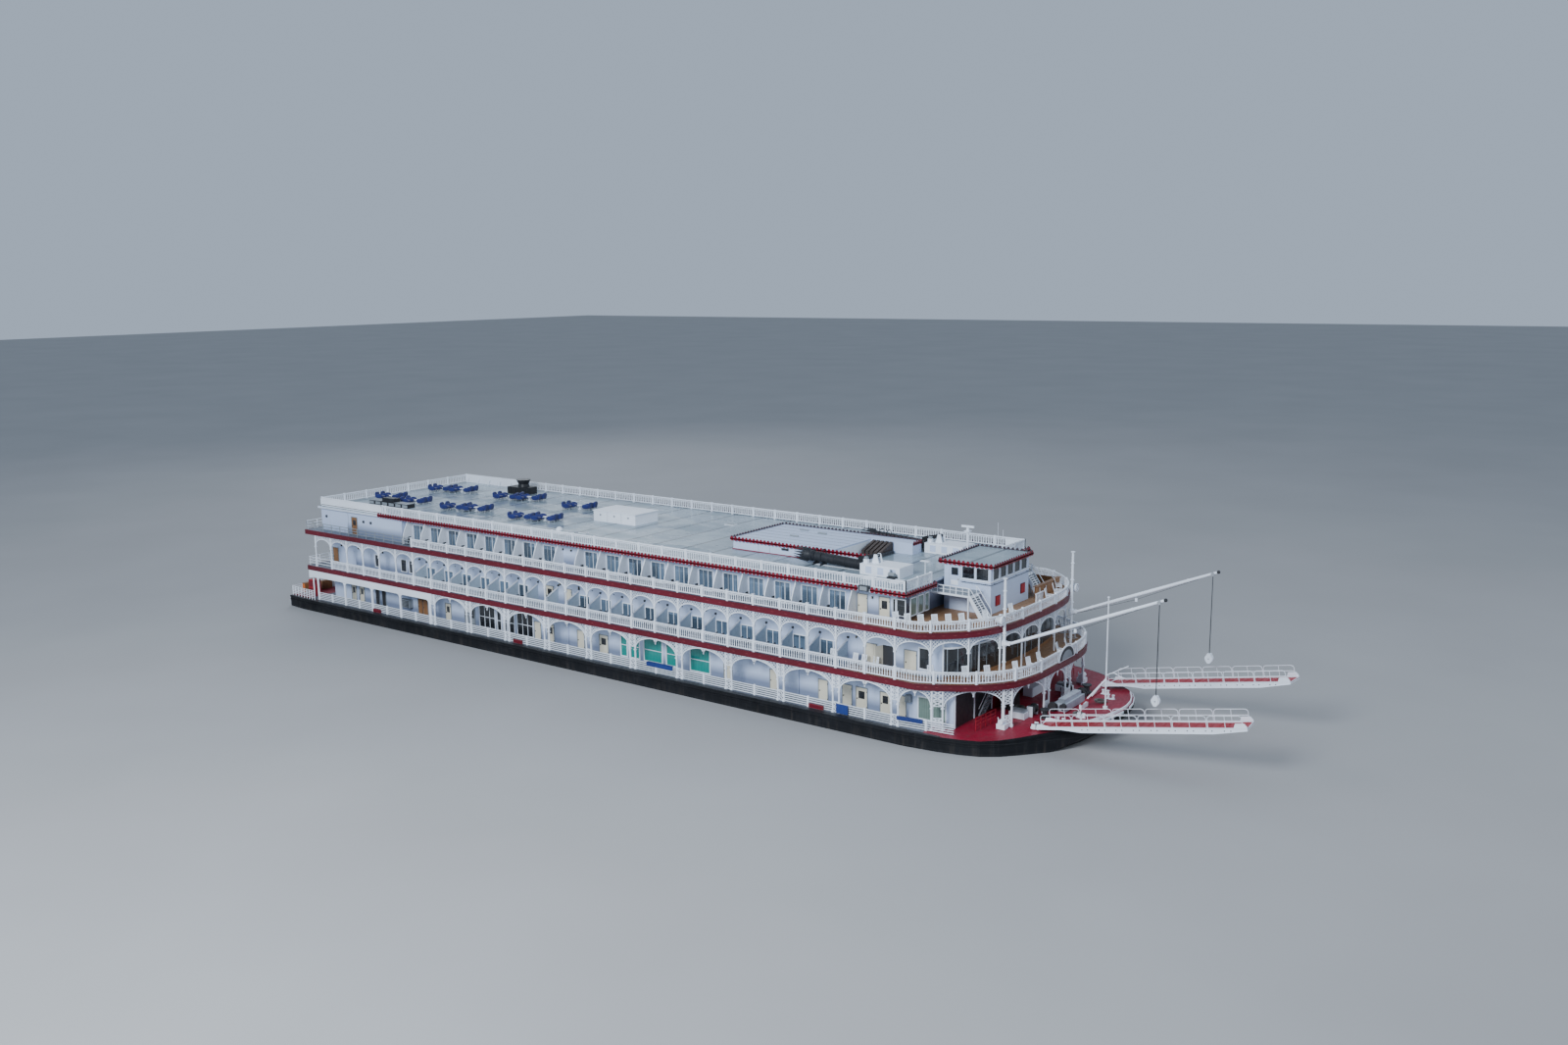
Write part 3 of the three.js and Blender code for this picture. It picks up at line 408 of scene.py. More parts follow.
glass("glass_dark", (0.006, 0.007, 0.009), (0.055, 0.062, 0.068), mixlo=0.6, mixhi=1.1)
glass("glass_blue", (0.035, 0.055, 0.080), (0.22, 0.32, 0.45), mixlo=0.40, mixhi=1.0)
glass("glass_teal", (0.004, 0.10, 0.09), (0.015, 0.31, 0.27), fold=0.018, mixlo=0.0, mixhi=0.35)
glass("glass_sage", (0.07, 0.11, 0.10), (0.19, 0.27, 0.23), fold=0.02, mixlo=0.0, mixhi=0.4)
main_deck_paint()
gear_paint()
# deck_plate: the grey of the deck tops and the colour of the undersides are darkened as painted shade, for the shade
# behind the rails and under the decks above
deck_edge_mix("deck_plate", ((0.12, 0.14, 0.18), (0.20, 0.23, 0.28)), (0.165, 0.006, 0.017), (0.22, 0.25, 0.33), bow_from=2.9, bow_cols=((0.25, 0.135, 0.068), (0.37, 0.215, 0.115)))
deck_edge_mix("roof_plate", ((0.25, 0.32, 0.37), (0.38, 0.45, 0.51)), (0.62, 0.68, 0.78), (0.60, 0.64, 0.70), plank=0.36, plank_axis="y", wet=True)


def M(name):
    return MATS[name]


# ------------------------------------------------------------------ mesh kit
class Kit:
    """Collects the faces of one piece, with a material for each face."""

    def __init__(self):
        self.v, self.f, self.m, self.mats = [], [], [], []

    def mi(self, mat):
        if mat not in self.mats:
            self.mats.append(mat)
        return self.mats.index(mat)

    def poly(self, faces, verts, mat):
        k, m = len(self.v), self.mi(mat)
        self.v += [tuple(p) for p in verts]
        for f in faces:
            self.f.append(tuple(i + k for i in f))
            self.m.append(m)

    def box(self, x0, x1, y0, y1, z0, z1, mat):
        self.poly(((0, 3, 2, 1), (4, 5, 6, 7), (0, 1, 5, 4), (1, 2, 6, 5), (2, 3, 7, 6), (3, 0, 4, 7)),
                  ((x0, y0, z0), (x1, y0, z0), (x1, y1, z0), (x0, y1, z0), (x0, y0, z1), (x1, y0, z1), (x1, y1, z1), (x0, y1, z1)), mat)

    def sbox(self, e, x0, x1, y0, y1, z0, z1, mat):
        """box with its y given as distance from the centreline, on side e"""
        a, b = sorted((e * y0, e * y1))
        self.box(x0, x1, a, b, z0, z1, mat)

    def cell(self, pts, vec, mat):
        """closed outline pts (3-D, planar) pushed along vec"""
        vec = Vector(vec)
        p = [Vector(q) for q in pts]
        n = len(p)
        nor = Vector((0, 0, 0))
        for i in range(n):
            nor += p[i].cross(p[(i + 1) % n])
        if nor.dot(vec) < 0:
            p.reverse()
        q = [a + vec for a in p]
        faces = [tuple(reversed(range(n))), tuple(range(n, 2 * n))]
        faces += [(i, (i + 1) % n, n + (i + 1) % n, n + i) for i in range(n)]
        self.poly(faces, p + q, mat)

    def beam(self, a, b, w, t, mat, side=(0, 1, 0)):
        """flat bar from a to b, t thick along side, w wide across it"""
        a, b, s = Vector(a), Vector(b), Vector(side).normalized()
        d = (b - a)
        if d.length < 1e-6:
            return
        u = d.normalized().cross(s)
        if u.length < 1e-6:
            u = d.normalized().orthogonal()
        u.normalize()
        s = u.cross(d.normalized()).normalized()
        q = [a + u * (w / 2 * i) + s * (t / 2 * j) for i, j in ((-1, -1), (1, -1), (1, 1), (-1, 1))]
        self.cell(q, d, mat)

    def rod(self, a, b, r, mat, n=8, r2=None, caps=True):
        a, b = Vector(a), Vector(b)
        d = b - a
        if d.length < 1e-7:
            return
        u = d.normalized().orthogonal().normalized()
        w = d.normalized().cross(u)
        r2 = r if r2 is None else r2
        ring = [(math.cos(2 * math.pi * i / n), math.sin(2 * math.pi * i / n)) for i in range(n)]
        vs = [a + (u * c + w * s) * r for c, s in ring] + [b + (u * c + w * s) * r2 for c, s in ring]
        fs = [(i, (i + 1) % n, n + (i + 1) % n, n + i) for i in range(n)]
        if caps:
            fs += [tuple(reversed(range(n))), tuple(range(n, 2 * n))]
        self.poly(fs, vs, mat)

    def path(self, pts, r, mat, n=6):
        """round bar through points, mitred"""
        pts = [Vector(p) for p in pts]
        if len(pts) < 2:
            return
        u = (pts[1] - pts[0]).normalized().orthogonal().normalized()
        rings = []
        for i, p in enumerate(pts):
            d = (pts[min(i + 1, len(pts) - 1)] - pts[max(i - 1, 0)]).normalized()
            u = (u - d * u.dot(d)).normalized()
            w = d.cross(u)
            rings += [p + (u * math.cos(2 * math.pi * k / n) + w * math.sin(2 * math.pi * k / n)) * r for k in range(n)]
        fs = [(i * n + k, i * n + (k + 1) % n, (i + 1) * n + (k + 1) % n, (i + 1) * n + k) for i in range(len(pts) - 1) for k in range(n)]
        fs += [tuple(reversed(range(n))), tuple(range((len(pts) - 1) * n, len(pts) * n))]
        self.poly(fs, rings, mat)

    def lathe(self, prof, centre, mat, n=16, axis=(0, 0, 1)):
        """profile [(r, h), ...] turned round axis through centre; ends closed where r > 0"""
        ax = Vector(axis).normalized()
        u = ax.orthogonal().normalized()
        w = ax.cross(u)
        c = Vector(centre)
        vs = [c + ax * h + (u * math.cos(2 * math.pi * k / n) + w * math.sin(2 * math.pi * k / n)) * r for r, h in prof for k in range(n)]
        fs = [(i * n + k, i * n + (k + 1) % n, (i + 1) * n + (k + 1) % n, (i + 1) * n + k) for i in range(len(prof) - 1) for k in range(n)]
        fs += [tuple(reversed(range(n))), tuple(range((len(prof) - 1) * n, len(prof) * n))]
        self.poly(fs, vs, mat)

    def pillow(self, c, size, mat, rot=0.0, tilt=0.0, n=5):
        """cushion: a box whose faces crown and whose sides pull in towards the corners"""
        m = Matrix.Translation(c) @ Matrix.Rotation(rot, 4, "Z") @ Matrix.Rotation(tilt, 4, "Y")
        sx, sy, sz = (s / 2 for s in size)

        def shape(a, b, s):
            rr = (1 - 0.10 * (a * a) * (b * b))
            h = s * (0.55 + 0.45 * (1 - a ** 4) * (1 - b ** 4))
            return m @ Vector((a * sx * rr, b * sy * rr, h * sz))
        vs, fs = [], []
        for s in (1, -1):
            for i in range(n + 1):
                for j in range(n + 1):
                    vs.append(shape(-1 + 2 * i / n, -1 + 2 * j / n, s))
        k = (n + 1) ** 2
        for i in range(n):
            for j in range(n):
                a = i * (n + 1) + j
                fs.append((a, a + n + 1, a + n + 2, a + 1))
                fs.append((k + a, k + a + 1, k + a + n + 2, k + a + n + 1))
        rim = [i * (n + 1) for i in range(n + 1)] + [n * (n + 1) + j for j in range(1, n + 1)] + [i * (n + 1) + n for i in range(n - 1, -1, -1)] + [j for j in range(n - 1, 0, -1)]
        L = len(rim)
        fs += [(rim[i], rim[(i + 1) % L], k + rim[(i + 1) % L], k + rim[i]) for i in range(L)]
        self.poly(fs, vs, mat)

    def add(self, other, mat4):
        k = len(self.v)
        self.v += [tuple(mat4 @ Vector(p)) for p in other.v]
        idx = [self.mi(m) for m in other.mats]
        flip = mat4.determinant() < 0
        for f, m in zip(other.f, other.m):
            g = tuple(i + k for i in f)
            self.f.append(tuple(reversed(g)) if flip else g)
            self.m.append(idx[m])

    def make(self, name, body="vessel", replaces=(), bevel=0.0, smooth=35):
        me = bpy.data.meshes.new(name)
        me.from_pydata(self.v, [], self.f)
        for m in self.mats:
            me.materials.append(M(m))
        me.polygons.foreach_set("material_index", self.m)
        me.validate()
        me.update()
        o = bpy.data.objects.new(name, me)
        bpy.context.scene.collection.objects.link(o)
        if smooth:
            me.shade_smooth()
            me.set_sharp_from_angle(angle=math.radians(smooth))
        if bevel:
            b = o.modifiers.new("bevel", "BEVEL")
            b.width = bevel
            b.segments = 2
            b.limit_method = "ANGLE"
            b.angle_limit = math.radians(50)
        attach(o, body)
        if replaces:
            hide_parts(*replaces)
        return o


def paint_node(mat, *nodes):
    for n in nodes:
        o = N[n]
        o.data.materials.clear()
        o.data.materials.append(M(mat))
        o.data.shade_smooth()
        o.data.set_sharp_from_angle(angle=math.radians(30))


SIDES = (("starboard", -1), ("port", 1))

# ------------------------------------------------------------------ camera, floor and light
yaw, pitch, roll = math.radians(126.5693), math.radians(10.3774), math.radians(-0.6325)
fwd = Vector((math.cos(yaw) * math.cos(pitch), math.sin(yaw) * math.cos(pitch), -math.sin(pitch)))
right0 = Vector((math.sin(yaw), -math.cos(yaw), 0))
up0 = right0.cross(fwd)
right = right0 * math.cos(roll) + up0 * math.sin(roll)
up = up0 * math.cos(roll) - right0 * math.sin(roll)
cam_data = bpy.data.cameras.new("camera")
cam_data.lens, cam_data.sensor_width, cam_data.sensor_fit = 30.909, 36.0, "HORIZONTAL"
cam_data.clip_end = 200
cam = bpy.data.objects.new("camera", cam_data)
m3 = Matrix((right, up, -fwd)).transposed()
cam.matrix_world = Matrix.Translation((8.98716, -10.16829, 3.96131)) @ m3.to_4x4()
bpy.context.scene.collection.objects.link(cam)
bpy.context.scene.camera = cam

floor_mesh = bpy.data.meshes.new("floor")
floor_mesh.from_pydata([(-90, -90, WATER), (90, -90, WATER), (90, 90, WATER), (-90, 90, WATER)], [], [(0, 1, 2, 3)])
floor = bpy.data.objects.new("floor", floor_mesh)
bpy.context.scene.collection.objects.link(floor)
nf = Nodes("floor_pale")
nf.done(nf.mix(nf.range(nf.noise(0.4, 3), 0, 1, 0.3, 0.7), (0.36, 0.36, 0.365), (0.39, 0.39, 0.395)), None, rough_value=0.8, spec=0.2)
floor_mesh.materials.append(M("floor_pale"))

world = bpy.data.worlds.new("sky")
bpy.context.scene.world = world
world.use_nodes = True
bg = world.node_tree.nodes["Background"]
bg.inputs[0].default_value = (0.66, 0.80, 1.0, 1)
bg.inputs[1].default_value = 0.60


def area(name, loc, target, size, power, col=(1, 1, 1)):
    d = bpy.data.lights.new(name, "AREA")
    d.shape, d.size, d.energy, d.color = "DISK", size, power, col
    o = bpy.data.objects.new(name, d)
    o.location = loc
    o.rotation_euler = (Vector(target) - Vector(loc)).to_track_quat("-Z", "Y").to_euler()
    bpy.context.scene.collection.objects.link(o)


area("key", (3.5, -14, 8.6), (0, 0, 0.8), 5.5, 2650, (0.88, 0.94, 1.0))
area("fill", (14, 4, 8), (2, 0, 0.8), 8, 400, (0.88, 0.94, 1.0))
area("back", (-12, 10, 10), (0, 0, 0.8), 9, 480, (0.92, 0.96, 1.0))

# ------------------------------------------------------------------ CAD nodes that stay, with their finishes
paint_node("hull_black", "hull")
paint_node("main_deck", "main_deck", "foredeck", "fantail_starboard", "fantail_port")
paint_node("deck_plate", "deck_2", "deck_3")
paint_node("roof_plate", "roof", "pilothouse_roof", *[n for n in N if n.startswith("roof_wing")])
paint_node("wall_white", "main_house", "house_2", "house_3", "roof_house", "pilothouse",
           "pilothouse_door_starboard", "pilothouse_door_port")
paint_node("trim_white", "roof_locker", "stack_casing_starboard", "stack_casing_port", "boom_collar_starboard", "boom_collar_port",
           "stage_swivel_starboard", "stage_swivel_port", "radar_mast", "radar_scanner",
           "pilothouse_landing_starboard", "pilothouse_landing_port", "mast_starboard", "mast_port", "jackstaff")
paint_node("stack_grey", "funnel", "roof_counter")
paint_node("gear_mix", "foredeck_gear")
paint_node("wheel_red", "rudder_starboard", "rudder_port")
paint_node("dark_grey", "capstan_starboard", "capstan_port")


# ------------------------------------------------------------------ shared details
def baluster(k, base, top, c, along, across, mat="trim_white", w=0.0090, t=0.0045):
    """one sawn baluster, centre c = (x, y) on the plan, between two heights"""
    h = top - base
    prof = ((0, 0.5), (0.12, 0.5), (0.2, 0.34), (0.36, 0.62), (0.5, 0.38), (0.66, 0.34), (0.86, 0.5), (1, 0.5))
    al, ac = Vector(along), Vector(across)
    left = [Vector((c[0], c[1], base + h * p)) + al * (w * q) - ac * (t / 2) for p, q in prof]
    rightp = [Vector((c[0], c[1], base + h * p)) - al * (w * q) - ac * (t / 2) for p, q in reversed(prof)]
    k.cell(left + rightp, ac * t, mat)


def balustrade(k, line, z0, z1, pitch=BAY / 11.7, post_at=None, mat="trim_white", t=0.010, post=0.020, skip_ends=True):
    """balusters with a top and a bottom rail along the plan line [(x, y), ...]"""
    pts = [Vector((x, y, 0)) for x, y in line]
    seg = [(pts[i + 1] - pts[i]).length for i in range(len(pts) - 1)]
    total = sum(seg)
    for i in range(len(pts) - 1):
        a, b = pts[i], pts[i + 1]
        d = (b - a).normalized()
        ac = Vector((-d.y, d.x, 0))
        ex = d * (t * 0.2)
        for za, zb, tt in ((z1 - 0.010, z1, t * 1.5), (z1 - 0.022, z1 - 0.017, t * 0.7), (z0 + 0.010, z0 + 0.018, t)):
            q = [a - ex + ac * (tt / 2) + Vector((0, 0, za)), b + ex + ac * (tt / 2) + Vector((0, 0, za)),
                 b + ex - ac * (tt / 2) + Vector((0, 0, za)), a - ex - ac * (tt / 2) + Vector((0, 0, za))]
            k.cell(q, (0, 0, zb - za), mat)
    count = max(1, round(total / pitch))
    for j in range(count):
        s = total * (j + 0.5) / count
        i = 0
        while i < len(seg) - 1 and s > seg[i]:
            s -= seg[i]
            i += 1
        d = (pts[i + 1] - pts[i]).normalized()
        p = pts[i] + d * s
        baluster(k, z0 + 0.018, z1 - 0.022, (p.x, p.y), d, Vector((-d.y, d.x, 0)), mat)
    for p in (post_at or []):
        x, y = p
        k.box(x - post / 2, x + post / 2, y - post / 2, y + post / 2, z0 + 0.0006, z1 + 0.004, mat)
        k.box(x - post * 0.65, x + post * 0.65, y - post * 0.65, y + post * 0.65, z1 + 0.004, z1 + 0.010, mat)


def fret(k, x0, x1, y, top, low, e, mat="trim_white", t=0.005, w=0.0040, pitch=0.031):
    """diagonal lattice between the height top and the lower limit low(x), in the plane y"""
    n = max(1, round((x1 - x0) / pitch))
    p = (x1 - x0) / n
    for s in (1, -1):
        for j in range(-8, n + 9):
            a = x0 + p * (j + 0.5)
            # walk down from the head at 45 degrees until the arch or the side is met
            z, x = top, a
            start = None
            while z > top - 0.24:
                inside = x0 <= x <= x1 and z >= low(x)
                if inside and start is None:
                    start = (x, z)
                if not inside and start is not None:
                    break
                last = (x, z)
                x += s * 0.0025
                z -= 0.0025
            if start is not None and abs(start[0] - last[0]) > 0.006:
                k.beam((start[0], y, start[1]), (last[0], y, last[1]), w, t, mat)


def arch_ring(k, pts, y, w, t, mat="trim_white"):
    """flat ring through [(x, z), ...] in the plane y, w wide"""
    n = len(pts)
    lo, hi = [], []
    for i in range(n):
        a = pts[max(0, i - 1)]
        b = pts[min(n - 1, i + 1)]
        d = Vector((b[0] - a[0], 0, b[1] - a[1])).normalized()
        nn = Vector((-d.z, 0, d.x))
        c = Vector((pts[i][0], y - t / 2, pts[i][1]))
        lo.append(c - nn * w / 2)
        hi.append(c + nn * w / 2)
    for i in range(n - 1):
        k.cell([lo[i], lo[i + 1], hi[i + 1], hi[i]], (0, t, 0), mat)


def ellipse(xa, xb, spring, apex, n=14):
    c, w = (xa + xb) / 2, (xb - xa) / 2
    return [(c - w * math.cos(math.pi * i / n), spring + (apex - spring) * math.sin(math.pi * i / n)) for i in range(n + 1)]


def ell_low(xa, xb, spring, apex):
    c, w = (xa + xb) / 2, (xb - xa) / 2

    def f(x):
        q = 1 - ((x - c) / w) ** 2
        return spring + (apex - spring) * math.sqrt(q) if q > 0 else spring
    return f


# ------------------------------------------------------------------ side screens
for side, e in SIDES:
    # second deck: slender posts, an arch with fretwork in each bay, balustrade below
    k = Kit()
    y = e * (HALF - 0.009)
    spring, apex, head = 0.975, 1.062, Z_3 - BAND + 0.004
    for i in range(BAYS + 1):
        x = bx(i)
        k.rod((x, y, Z_2 + 0.001), (x, y, head), 0.0075, "trim_white", 10)
        k.box(x - 0.011, x + 0.011, y - 0.009, y + 0.009, Z_2 + 0.0006, Z_2 + 0.115, "trim_white")
        k.box(x - 0.012, x + 0.012, y - 0.009, y + 0.009, spring - 0.016, spring - 0.004, "trim_white")
    for i in range(BAYS):
        a, b = bx(i) + 0.007, bx(i + 1) - 0.007
        arch_ring(k, ellipse(a, b, spring, apex), y, 0.0085, 0.009)
        fret(k, a, b, y, head - 0.004, ell_low(a, b, spring, apex), e)
        k.box(bx(i), bx(i + 1), y - 0.005, y + 0.005, head - 0.008, head + 0.003, "trim_white")
        if i > 0:
            balustrade(k, [(a + 0.004, y), (b - 0.004, y)], Z_2, 0.832)
    for z in (Z_2 + 0.035, Z_2 + 0.068, Z_2 + 0.1):
        k.rod((X_AFT + 0.015, y, z), (bx(1) - 0.01, y, z), 0.0035, "trim_white", 6)
    k.make(f"arcade_2_{side}", replaces=(f"screen_2_{side}",))

    # third deck: balustrade with a post at each bay, pipe rail aft
    k = Kit()
    posts = [(bx(i), y) for i in range(6, BAYS + 1)]
    for i in range(6, BAYS):
        balustrade(k, [(bx(i) + 0.01, y), (bx(i + 1) - 0.01, y)], Z_3, 1.24)
    for p in posts:
        k.box(p[0] - 0.010, p[0] + 0.010, y - 0.008, y + 0.008, Z_3 + 0.0006, 1.246, "trim_white")
        k.box(p[0] - 0.014, p[0] + 0.014, y - 0.011, y + 0.008, 1.246, 1.252, "trim_white")
    for j in range(13):
        x = X_AFT + 0.015 + (bx(6) - X_AFT - 0.015) * j / 12
        k.rod((x, y, Z_3 + 0.0006), (x, y, 1.243), 0.0040, "mid_grey", 8)
    for z in (Z_3 + 0.034, Z_3 + 0.064, 1.243):
        k.rod((X_AFT + 0.013, y, z), (bx(6), y, z), 0.0038, "mid_grey", 8)
    k.make(f"balustrade_3_{side}", replaces=(f"rail_3_{side}",))

    # main deck: closed fascia aft, wide arches forward
    k = Kit()
    top = Z_2 - BAND + 0.004
    t0 = HALF - 0.012
    openings = [(0, 1.75), (1.75, 3.45), (3.45, 5.15), (5.15, 6.85)]
    fz, c = 0.600, 0.040
    ya, yb = sorted((e * HALF, e * (HALF - 0.012)))
    k.box(bx(-0.55), bx(7), ya, yb, fz, Z_2 - BAND + 0.01, "trim_white")
    k.cell([(bx(-0.55), ya, fz), (bx(-0.55), ya, fz - 0.02), (bx(-0.30), ya, fz - 0.007), (bx(0) - 0.010, ya, fz - 0.001), (bx(0) - 0.010, ya, fz)], (0, yb - ya, 0), "trim_white")
    for a, b in openings:
        xa, xb = bx(a) + 0.013, bx(b) - 0.013
        for s, cx in ((1, xa), (-1, xb)):
            pts = [(cx, ya, fz + 0.001), (cx, ya, fz - c)]
            pts += [(cx + s * c * (1 - math.cos(t)), ya, fz - c + c * math.sin(t)) for t in [math.pi / 2 * q / 6 for q in range(1, 7)]]
            k.cell(pts, (0, yb - ya, 0), "trim_white")
        k.box(xb, bx(b) + 0.013, ya, yb, Z_MAIN + 0.0006, fz + 0.001, "trim_white")
    k.box(bx(0) - 0.010, bx(0) + 0.013, ya, yb, Z_MAIN + 0.0006, fz + 0.001, "trim_white")
    pairs = list(range(7, BAYS + 1, 2))
    rail_top = 0.428
    gap_b = 0.032
    for i in pairs:
        for s in (-1, 1):
            x = bx(i) + s * gap_b
            k.rod((x, y, Z_MAIN + 0.0006), (x, y, top), 0.0085, "trim_white", 10)
            k.box(x - 0.012, x + 0.012, y - 0.010, y + 0.010, Z_MAIN + 0.0006, Z_MAIN + 0.02, "trim_white")
            k.box(x - 0.012, x + 0.012, y - 0.010, y + 0.010, 0.520, 0.532, "trim_white")
        # diamond lattice between the pair, below the rail's height and under the head
        for za, zb in ((Z_MAIN + 0.008, 0.432), (0.560, top - 0.004)):
            rows = max(1, round((zb - za) / (2 * gap_b) * 1.5))
            hgt = (zb - za) / rows
            for r in range(rows):
                xa, xb = bx(i) - gap_b, bx(i) + gap_b
                k.beam((xa, y, za + hgt * r), (xb, y, za + hgt * (r + 1)), 0.007, 0.006, "trim_white")
                k.beam((xb, y, za + hgt * r), (xa, y, za + hgt * (r + 1)), 0.007, 0.006, "trim_white")
                k.box(xa, xb, y - 0.004, y + 0.004, za + hgt * r - 0.003, za + hgt * r + 0.003, "trim_white")
            k.box(xa, xb, y - 0.004, y + 0.004, zb - 0.004, zb + 0.003, "trim_white")
    for i, j in zip(pairs[:-1], pairs[1:]):
        a, b = bx(i) + gap_b + 0.006, bx(j) - gap_b - 0.006
        sp, ap = 0.545, top - 0.014
        arch_ring(k, ellipse(a, b, sp, ap, 20), y, 0.0095, 0.010)
        arch_ring(k, ellipse(a - 0.002, b + 0.002, sp + 0.03, ap + 0.012, 20), y, 0.0045, 0.007)
        fret(k, a, a + 0.13, y, top - 0.002, ell_low(a, b, sp, ap), e, pitch=0.034)
        fret(k, b - 0.13, b, y, top - 0.002, ell_low(a, b, sp, ap), e, pitch=0.034)
        k.box(a, b, y - 0.005, y + 0.005, top - 0.010, top + 0.003, "trim_white")
        # pendant at the middle of the arch
        cx = (a + b) / 2
        for dx, z1, z2 in ((0.045, top - 0.004, 0.655), (0.026, 0.668, 0.634)):
            k.beam((cx - dx, y, z1), (cx, y, z2), 0.009, 0.009, "trim_white")
            k.beam((cx + dx, y, z1), (cx, y, z2), 0.009, 0.009, "trim_white")
        k.beam((cx, y, top), (cx, y, 0.622), 0.010, 0.009, "trim_white")
        k.beam((cx - 0.045, y, 0.668), (cx + 0.045, y, 0.668), 0.007, 0.009, "trim_white")
        k.rod((cx, y, 0.632), (cx, y, 0.612), 0.008, "trim_white", 8, 0.002)
    # slatted rail with a post in the middle of each opening
    spans = [(bx(a) + 0.013, bx(b) - 0.013) for a, b in openings] + [(bx(6.85) + 0.013, bx(7) - gap_b)]
    spans += [(bx(i) + gap_b, bx(j) - gap_b) for i, j in zip(pairs[:-1], pairs[1:])]
    for a, b in spans:
        for q in range(5):
            z = Z_MAIN + 0.011 + q * (rail_top - Z_MAIN - 0.016) / 4
            k.box(a, b, y - 0.002, y + 0.002, z - 0.0034, z + 0.0034, "trim_white")
        if b - a > 0.2:
            for q in ((0.5,) if b - a < 0.7 else (0.5,)):
                x = a + (b - a) * q
                k.box(x - 0.009, x + 0.009, y - 0.007, y + 0.007, Z_MAIN + 0.0006, rail_top + 0.006, "trim_white")
    k.make(f"arcade_main_{side}", replaces=(f"screen_main_{side}",))

# ------------------------------------------------------------------ red bands round the decks
for name, f, z, back in (("band_2", front2, Z_2, X_AFT), ("band_3", front3, Z_3, X_AFT)):
    k = Kit()
    steps = 44
    inner, outer = [], []
    line = [(back, -HALF)] + [(f(HALF * math.sin(q / steps * math.pi / 2)), HALF * math.sin(q / steps * math.pi / 2)) for q in range(-steps, steps + 1)] + [(back, HALF)]
    line = [line[0], (bx(27), -HALF)] + [p for p in line[1:-1] if p[0] > bx(27) + 0.002] + [(bx(27), HALF), line[-1]]
    n = len(line)
    ring = []
    for i, p in enumerate(line):
        a, b = Vector((*line[max(0, i - 1)], 0)), Vector((*line[min(n - 1, i + 1)], 0))
        d = (b - a).normalized()
        ring.append((Vector((*p, 0)), Vector((d.y, -d.x, 0))))
    prof = ((-0.004, z - BAND), (0.006, z - BAND), (0.006, z - 0.008), (0.010, z - 0.006), (0.010, z + 0.001), (-0.004, z + 0.001))
    vs = [p + nn * o + Vector((0, 0, h)) for p, nn in ring for o, h in prof]
    L = len(prof)
    fs = [(i * L + j, (i + 1) * L + j, (i + 1) * L + (j + 1) % L, i * L + (j + 1) % L) for i in range(n - 1) for j in range(L)]
    fs += [tuple(range(L)), tuple(reversed(range((n - 1) * L, n * L)))]
    k.poly(fs, vs, "band_red")
    k.box(back - 0.006, back + 0.004, -HALF - 0.006, HALF + 0.006, z - BAND, z + 0.001, "band_red")
    # short pale dashes along the band, two to a bay
    for e in (-1, 1):
        for i in range(2 * BAYS):
            x = bx(i / 2 + 0.25)
            k.sbox(e, x - 0.012, x + 0.012, HALF + 0.004, HALF + 0.0078, z - 0.025, z - 0.022, "band_dash")
    for i in range(6, n - 6, 3):
        p, nn = ring[i]
        if p.x > bx(27.2):
            d = Vector((-nn.y, nn.x, 0))
            q = p + nn * 0.005
            k.beam(q - d * 0.012 + Vector((0, 0, z - 0.0235)), q + d * 0.012 + Vector((0, 0, z - 0.0235)), 0.003, 0.005, "band_dash", nn)
    k.make(name)

# ------------------------------------------------------------------ curved fronts: balustrades, posts and arches
def bow_line(f, inset, start, steps=26):
    s = HALF - inset
    pts = [(start, -s)]
    for q in range(-steps, steps + 1):
        y = s * math.sin(q / steps * math.pi / 2)
        x = f(y * HALF / s) - inset
        if x > start + 0.004:
            pts.append((x, y))
    return pts + [(start, s)]


def resample(line, n):
    pts = [Vector((x, y, 0)) for x, y in line]
    cum = [0.0]
    for i in range(len(pts) - 1):
        cum.append(cum[-1] + (pts[i + 1] - pts[i]).length)
    out = []
    for q in range(n + 1):
        s = cum[-1] * q / n
        i = max(0, min(len(pts) - 2, sum(1 for c in cum if c <= s) - 1))
        u = (s - cum[i]) / max(1e-9, cum[i + 1] - cum[i])
        p = pts[i].lerp(pts[i + 1], u)
        out.append((p.x, p.y))
    return out


def curved_arches(k, line, spring, apex, head, inset_rail=None):
    """arches with fretwork that follow the chords of a plan line of posts"""
    for (xa, ya), (xb, yb) in zip(line[:-1], line[1:]):
        d = Vector((xb - xa, yb - ya, 0))
        L = d.length
        d.normalize()
        loc = Kit()
        arch_ring(loc, ellipse(0.008, L - 0.008, spring, apex), 0, 0.0085, 0.009)
        fret(loc, 0.008, L - 0.008, 0, head - 0.004, ell_low(0.008, L - 0.008, spring, apex), 1)
        loc.box(0, L, -0.005, 0.005, head - 0.008, head + 0.003, "trim_white")
        m = Matrix(((d.x, -d.y, 0, xa), (d.y, d.x, 0, ya), (0, 0, 1, 0), (0, 0, 0, 1)))
        k.add(loc, m)


k = Kit()
rail_line = bow_line(front2, 0.009, bx(27))
fine = resample(rail_line, 60)
balustrade(k, fine, Z_2, 0.832)
for p in resample(rail_line, 10)[1:-1]:
    k.box(p[0] - 0.010, p[0] + 0.010, p[1] - 0.010, p[1] + 0.010, Z_2 + 0.0006, 0.838, "trim_white")
posts2 = resample(bow_line(front3, 0.014, bx(27)), 10)
for p in posts2[1:-1]:
    k.rod((p[0], p[1], Z_2 + 0.001), (p[0], p[1], Z_3 - BAND + 0.004), 0.0075, "trim_white", 10)
    k.box(p[0] - 0.012, p[0] + 0.012, p[1] - 0.012, p[1] + 0.012, 0.959, 0.971, "trim_white")
curved_arches(k, posts2, 0.975, 1.062, Z_3 - BAND + 0.004)
k.make("arcade_bow_2", replaces=("bow_screen_2",))

